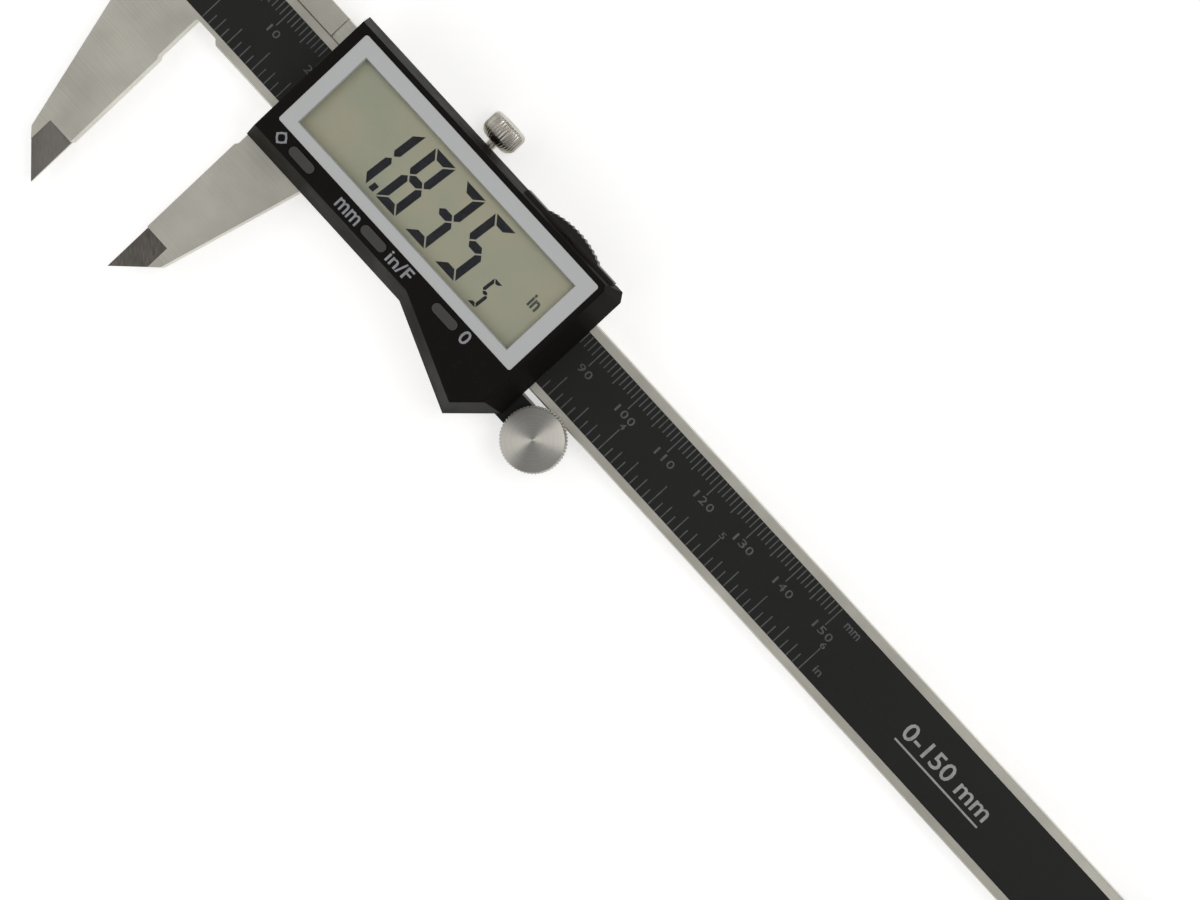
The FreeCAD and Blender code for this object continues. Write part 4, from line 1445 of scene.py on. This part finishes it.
# ---- all together -----------------------------------------------------------------------------
def finishes(datum: Datum) -> dict[str, Finish]:
    """The finish of each slot, and of the prints and ground faces.

    Args:
        datum: the zero marks, for what is turned about an axis.

    Returns:
        Finishes by name.
    """
    warm_light, warm_dark = (0.76, 0.74, 0.66), (0.53, 0.515, 0.455)
    roller = datum.on_slider(*ThumbRoller.at).translation
    cell = (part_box("coin_cell")[0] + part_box("coin_cell")[1]) / 2
    made = [
        GroundSteel("beam_steel", warm_light, warm_dark),
        GroundSteel("slider_steel", warm_light, warm_dark),
        GroundSteel("ground_tip", (0.35, 0.325, 0.30), (0.20, 0.185, 0.17), Lay.SLANTED, smooth=0.36,
                    rough=0.5, across=3600.0, depth=0.2),
        # Painted shade: the fixed tip's ground steel darkened to under half, standing in for the darker
        # reflection of the slider's leaning recess.
        GroundSteel("slider_tip_painted_shade", (0.150, 0.141, 0.127), (0.080, 0.074, 0.066), Lay.SLANTED, smooth=0.36,
                    rough=0.5, across=3600.0, depth=0.2),
        GroundSteel("stop_steel", (0.62, 0.61, 0.57), (0.48, 0.47, 0.44), Lay.ACROSS),
        GroundSteel("back_steel", (0.60, 0.59, 0.55), (0.46, 0.45, 0.42), Lay.ALONG, smooth=0.32, rough=0.46),
        GroundSteel("rod_steel", (0.66, 0.65, 0.60), (0.52, 0.51, 0.47), Lay.ALONG, smooth=0.24, rough=0.36),
        GroundSteel("screw_steel", (0.55, 0.54, 0.51), (0.38, 0.37, 0.35), Lay.SLANTED, smooth=0.26,
                    rough=0.4),
        GroundSteel("axle_steel", (0.62, 0.61, 0.58), (0.5, 0.49, 0.46), Lay.ACROSS, smooth=0.2, rough=0.3),
        GroundSteel("spring_steel", (0.42, 0.42, 0.43), (0.3, 0.3, 0.32), Lay.ALONG, smooth=0.25, rough=0.4),
        GroundSteel("switch_metal", (0.6, 0.58, 0.52), (0.45, 0.43, 0.4), Lay.ALONG),
        GroundSteel("brass", (0.78, 0.60, 0.30), (0.58, 0.42, 0.18), Lay.ALONG, smooth=0.25, rough=0.4),
        GroundSteel("contact_brass", (0.8, 0.66, 0.38), (0.62, 0.5, 0.26), Lay.ALONG, smooth=0.22,
                    rough=0.34),
        TurnedMetal("roller_metal", (0.68, 0.66, 0.61), (0.50, 0.485, 0.45), roller),
        GroundSteel("lock_metal", (0.66, 0.63, 0.56), (0.46, 0.43, 0.38), Lay.ACROSS, smooth=0.2, rough=0.34),
        TurnedMetal("cell_steel", (0.72, 0.72, 0.71), (0.6, 0.6, 0.59), cell, roughness=0.28, fan=0.4),
        Moulding("glass_epoxy", (0.10, 0.22, 0.12), (0.2, 0.3, 0.2), roughness=0.4),
        Moulding("scale_print", (0.0105, 0.0105, 0.0098), (0.05, 0.05, 0.05), roughness=0.42, grain=0.03,
                 scale=14000.0, specular=0.3),
        Moulding("cover_plastic", (0.0135, 0.0125, 0.011), (0.032, 0.03, 0.026), roughness=0.36,
                 grain=0.02, scale=6000.0, specular=0.01),
        Moulding("bezel_silver", (0.64, 0.655, 0.66), (0.72, 0.73, 0.73), roughness=0.38, grain=0.06,
                 scale=16000.0, specular=0.4),
        Moulding("arm_black", (0.010, 0.010, 0.0095), (0.04, 0.038, 0.035), roughness=0.36, grain=0.15,
                 scale=5000.0, specular=0.2),
        Moulding("tray_plastic", (0.030, 0.026, 0.023), (0.07, 0.062, 0.055), roughness=0.36, grain=0.08,
                 scale=7000.0, specular=0.2),
        Moulding("button_grey", (0.060, 0.060, 0.058), (0.11, 0.11, 0.105), roughness=0.45, grain=0.1,
                 scale=9000.0, specular=0.4),
        Moulding("connector_rubber", (0.12, 0.12, 0.13), (0.2, 0.2, 0.2), roughness=0.7, grain=0.1,
                 scale=4000.0),
        Moulding("chip_black", (0.018, 0.018, 0.018), (0.05, 0.05, 0.05), roughness=0.5, grain=0.15,
                 scale=9000.0),
        Fabric("felt", (0.05, 0.05, 0.052)),
        BoardLaminate("board_green", (0.015, 0.13, 0.05), (0.04, 0.24, 0.09)),
        ClearWindow("clear_window", (0.97, 0.98, 0.96)),
        DisplayGlass("display_glass", (0.505, 0.465, 0.36), (0.40, 0.42, 0.34)),
        Ink("scale_ink", (0.125, 0.130, 0.128), (0.075, 0.078, 0.077)),
        Ink("range_ink", (0.42, 0.43, 0.43), (0.30, 0.31, 0.31)),
        Ink("legend_ink", (0.36, 0.37, 0.40), (0.24, 0.25, 0.27)),
        Ink("display_ink", (0.0035, 0.004, 0.010), (0.006, 0.0065, 0.014), roughness=0.3),
        Ink("faint_ink", (0.075, 0.08, 0.07), (0.11, 0.115, 0.095), roughness=0.3),
    ]
    return {finish.name: finish for finish in made}


def main() -> None:
    """Builds the materials, the pieces and the studio."""
    logging.basicConfig(level=logging.INFO, format="%(name)s: %(message)s")
    datum = Datum.measured()
    # The CAD's own colours make way, so that each finish keeps its name.
    for plain in list(bpy.data.materials):
        bpy.data.materials.remove(plain)
    effects = Effects()
    materials = {name: finish.build(effects) for name, finish in finishes(datum).items()}
    shop = Workshop(materials)
    shop.dress_nodes()
    assemblies = (BeamAssembly(shop, datum), SliderAssembly(shop, datum), Readout(shop, datum), Keys(shop),
                  ThumbRoller(shop, datum), LockScrew(shop, datum), BatteryDrawer(shop))
    for assembly in assemblies:
        for piece in assembly.build():
            LOG.info("%s: %s, %d faces", type(assembly).__name__, piece.name, len(piece.data.polygons))
    Studio(datum).build()


if __name__ == "__main__":
    main()
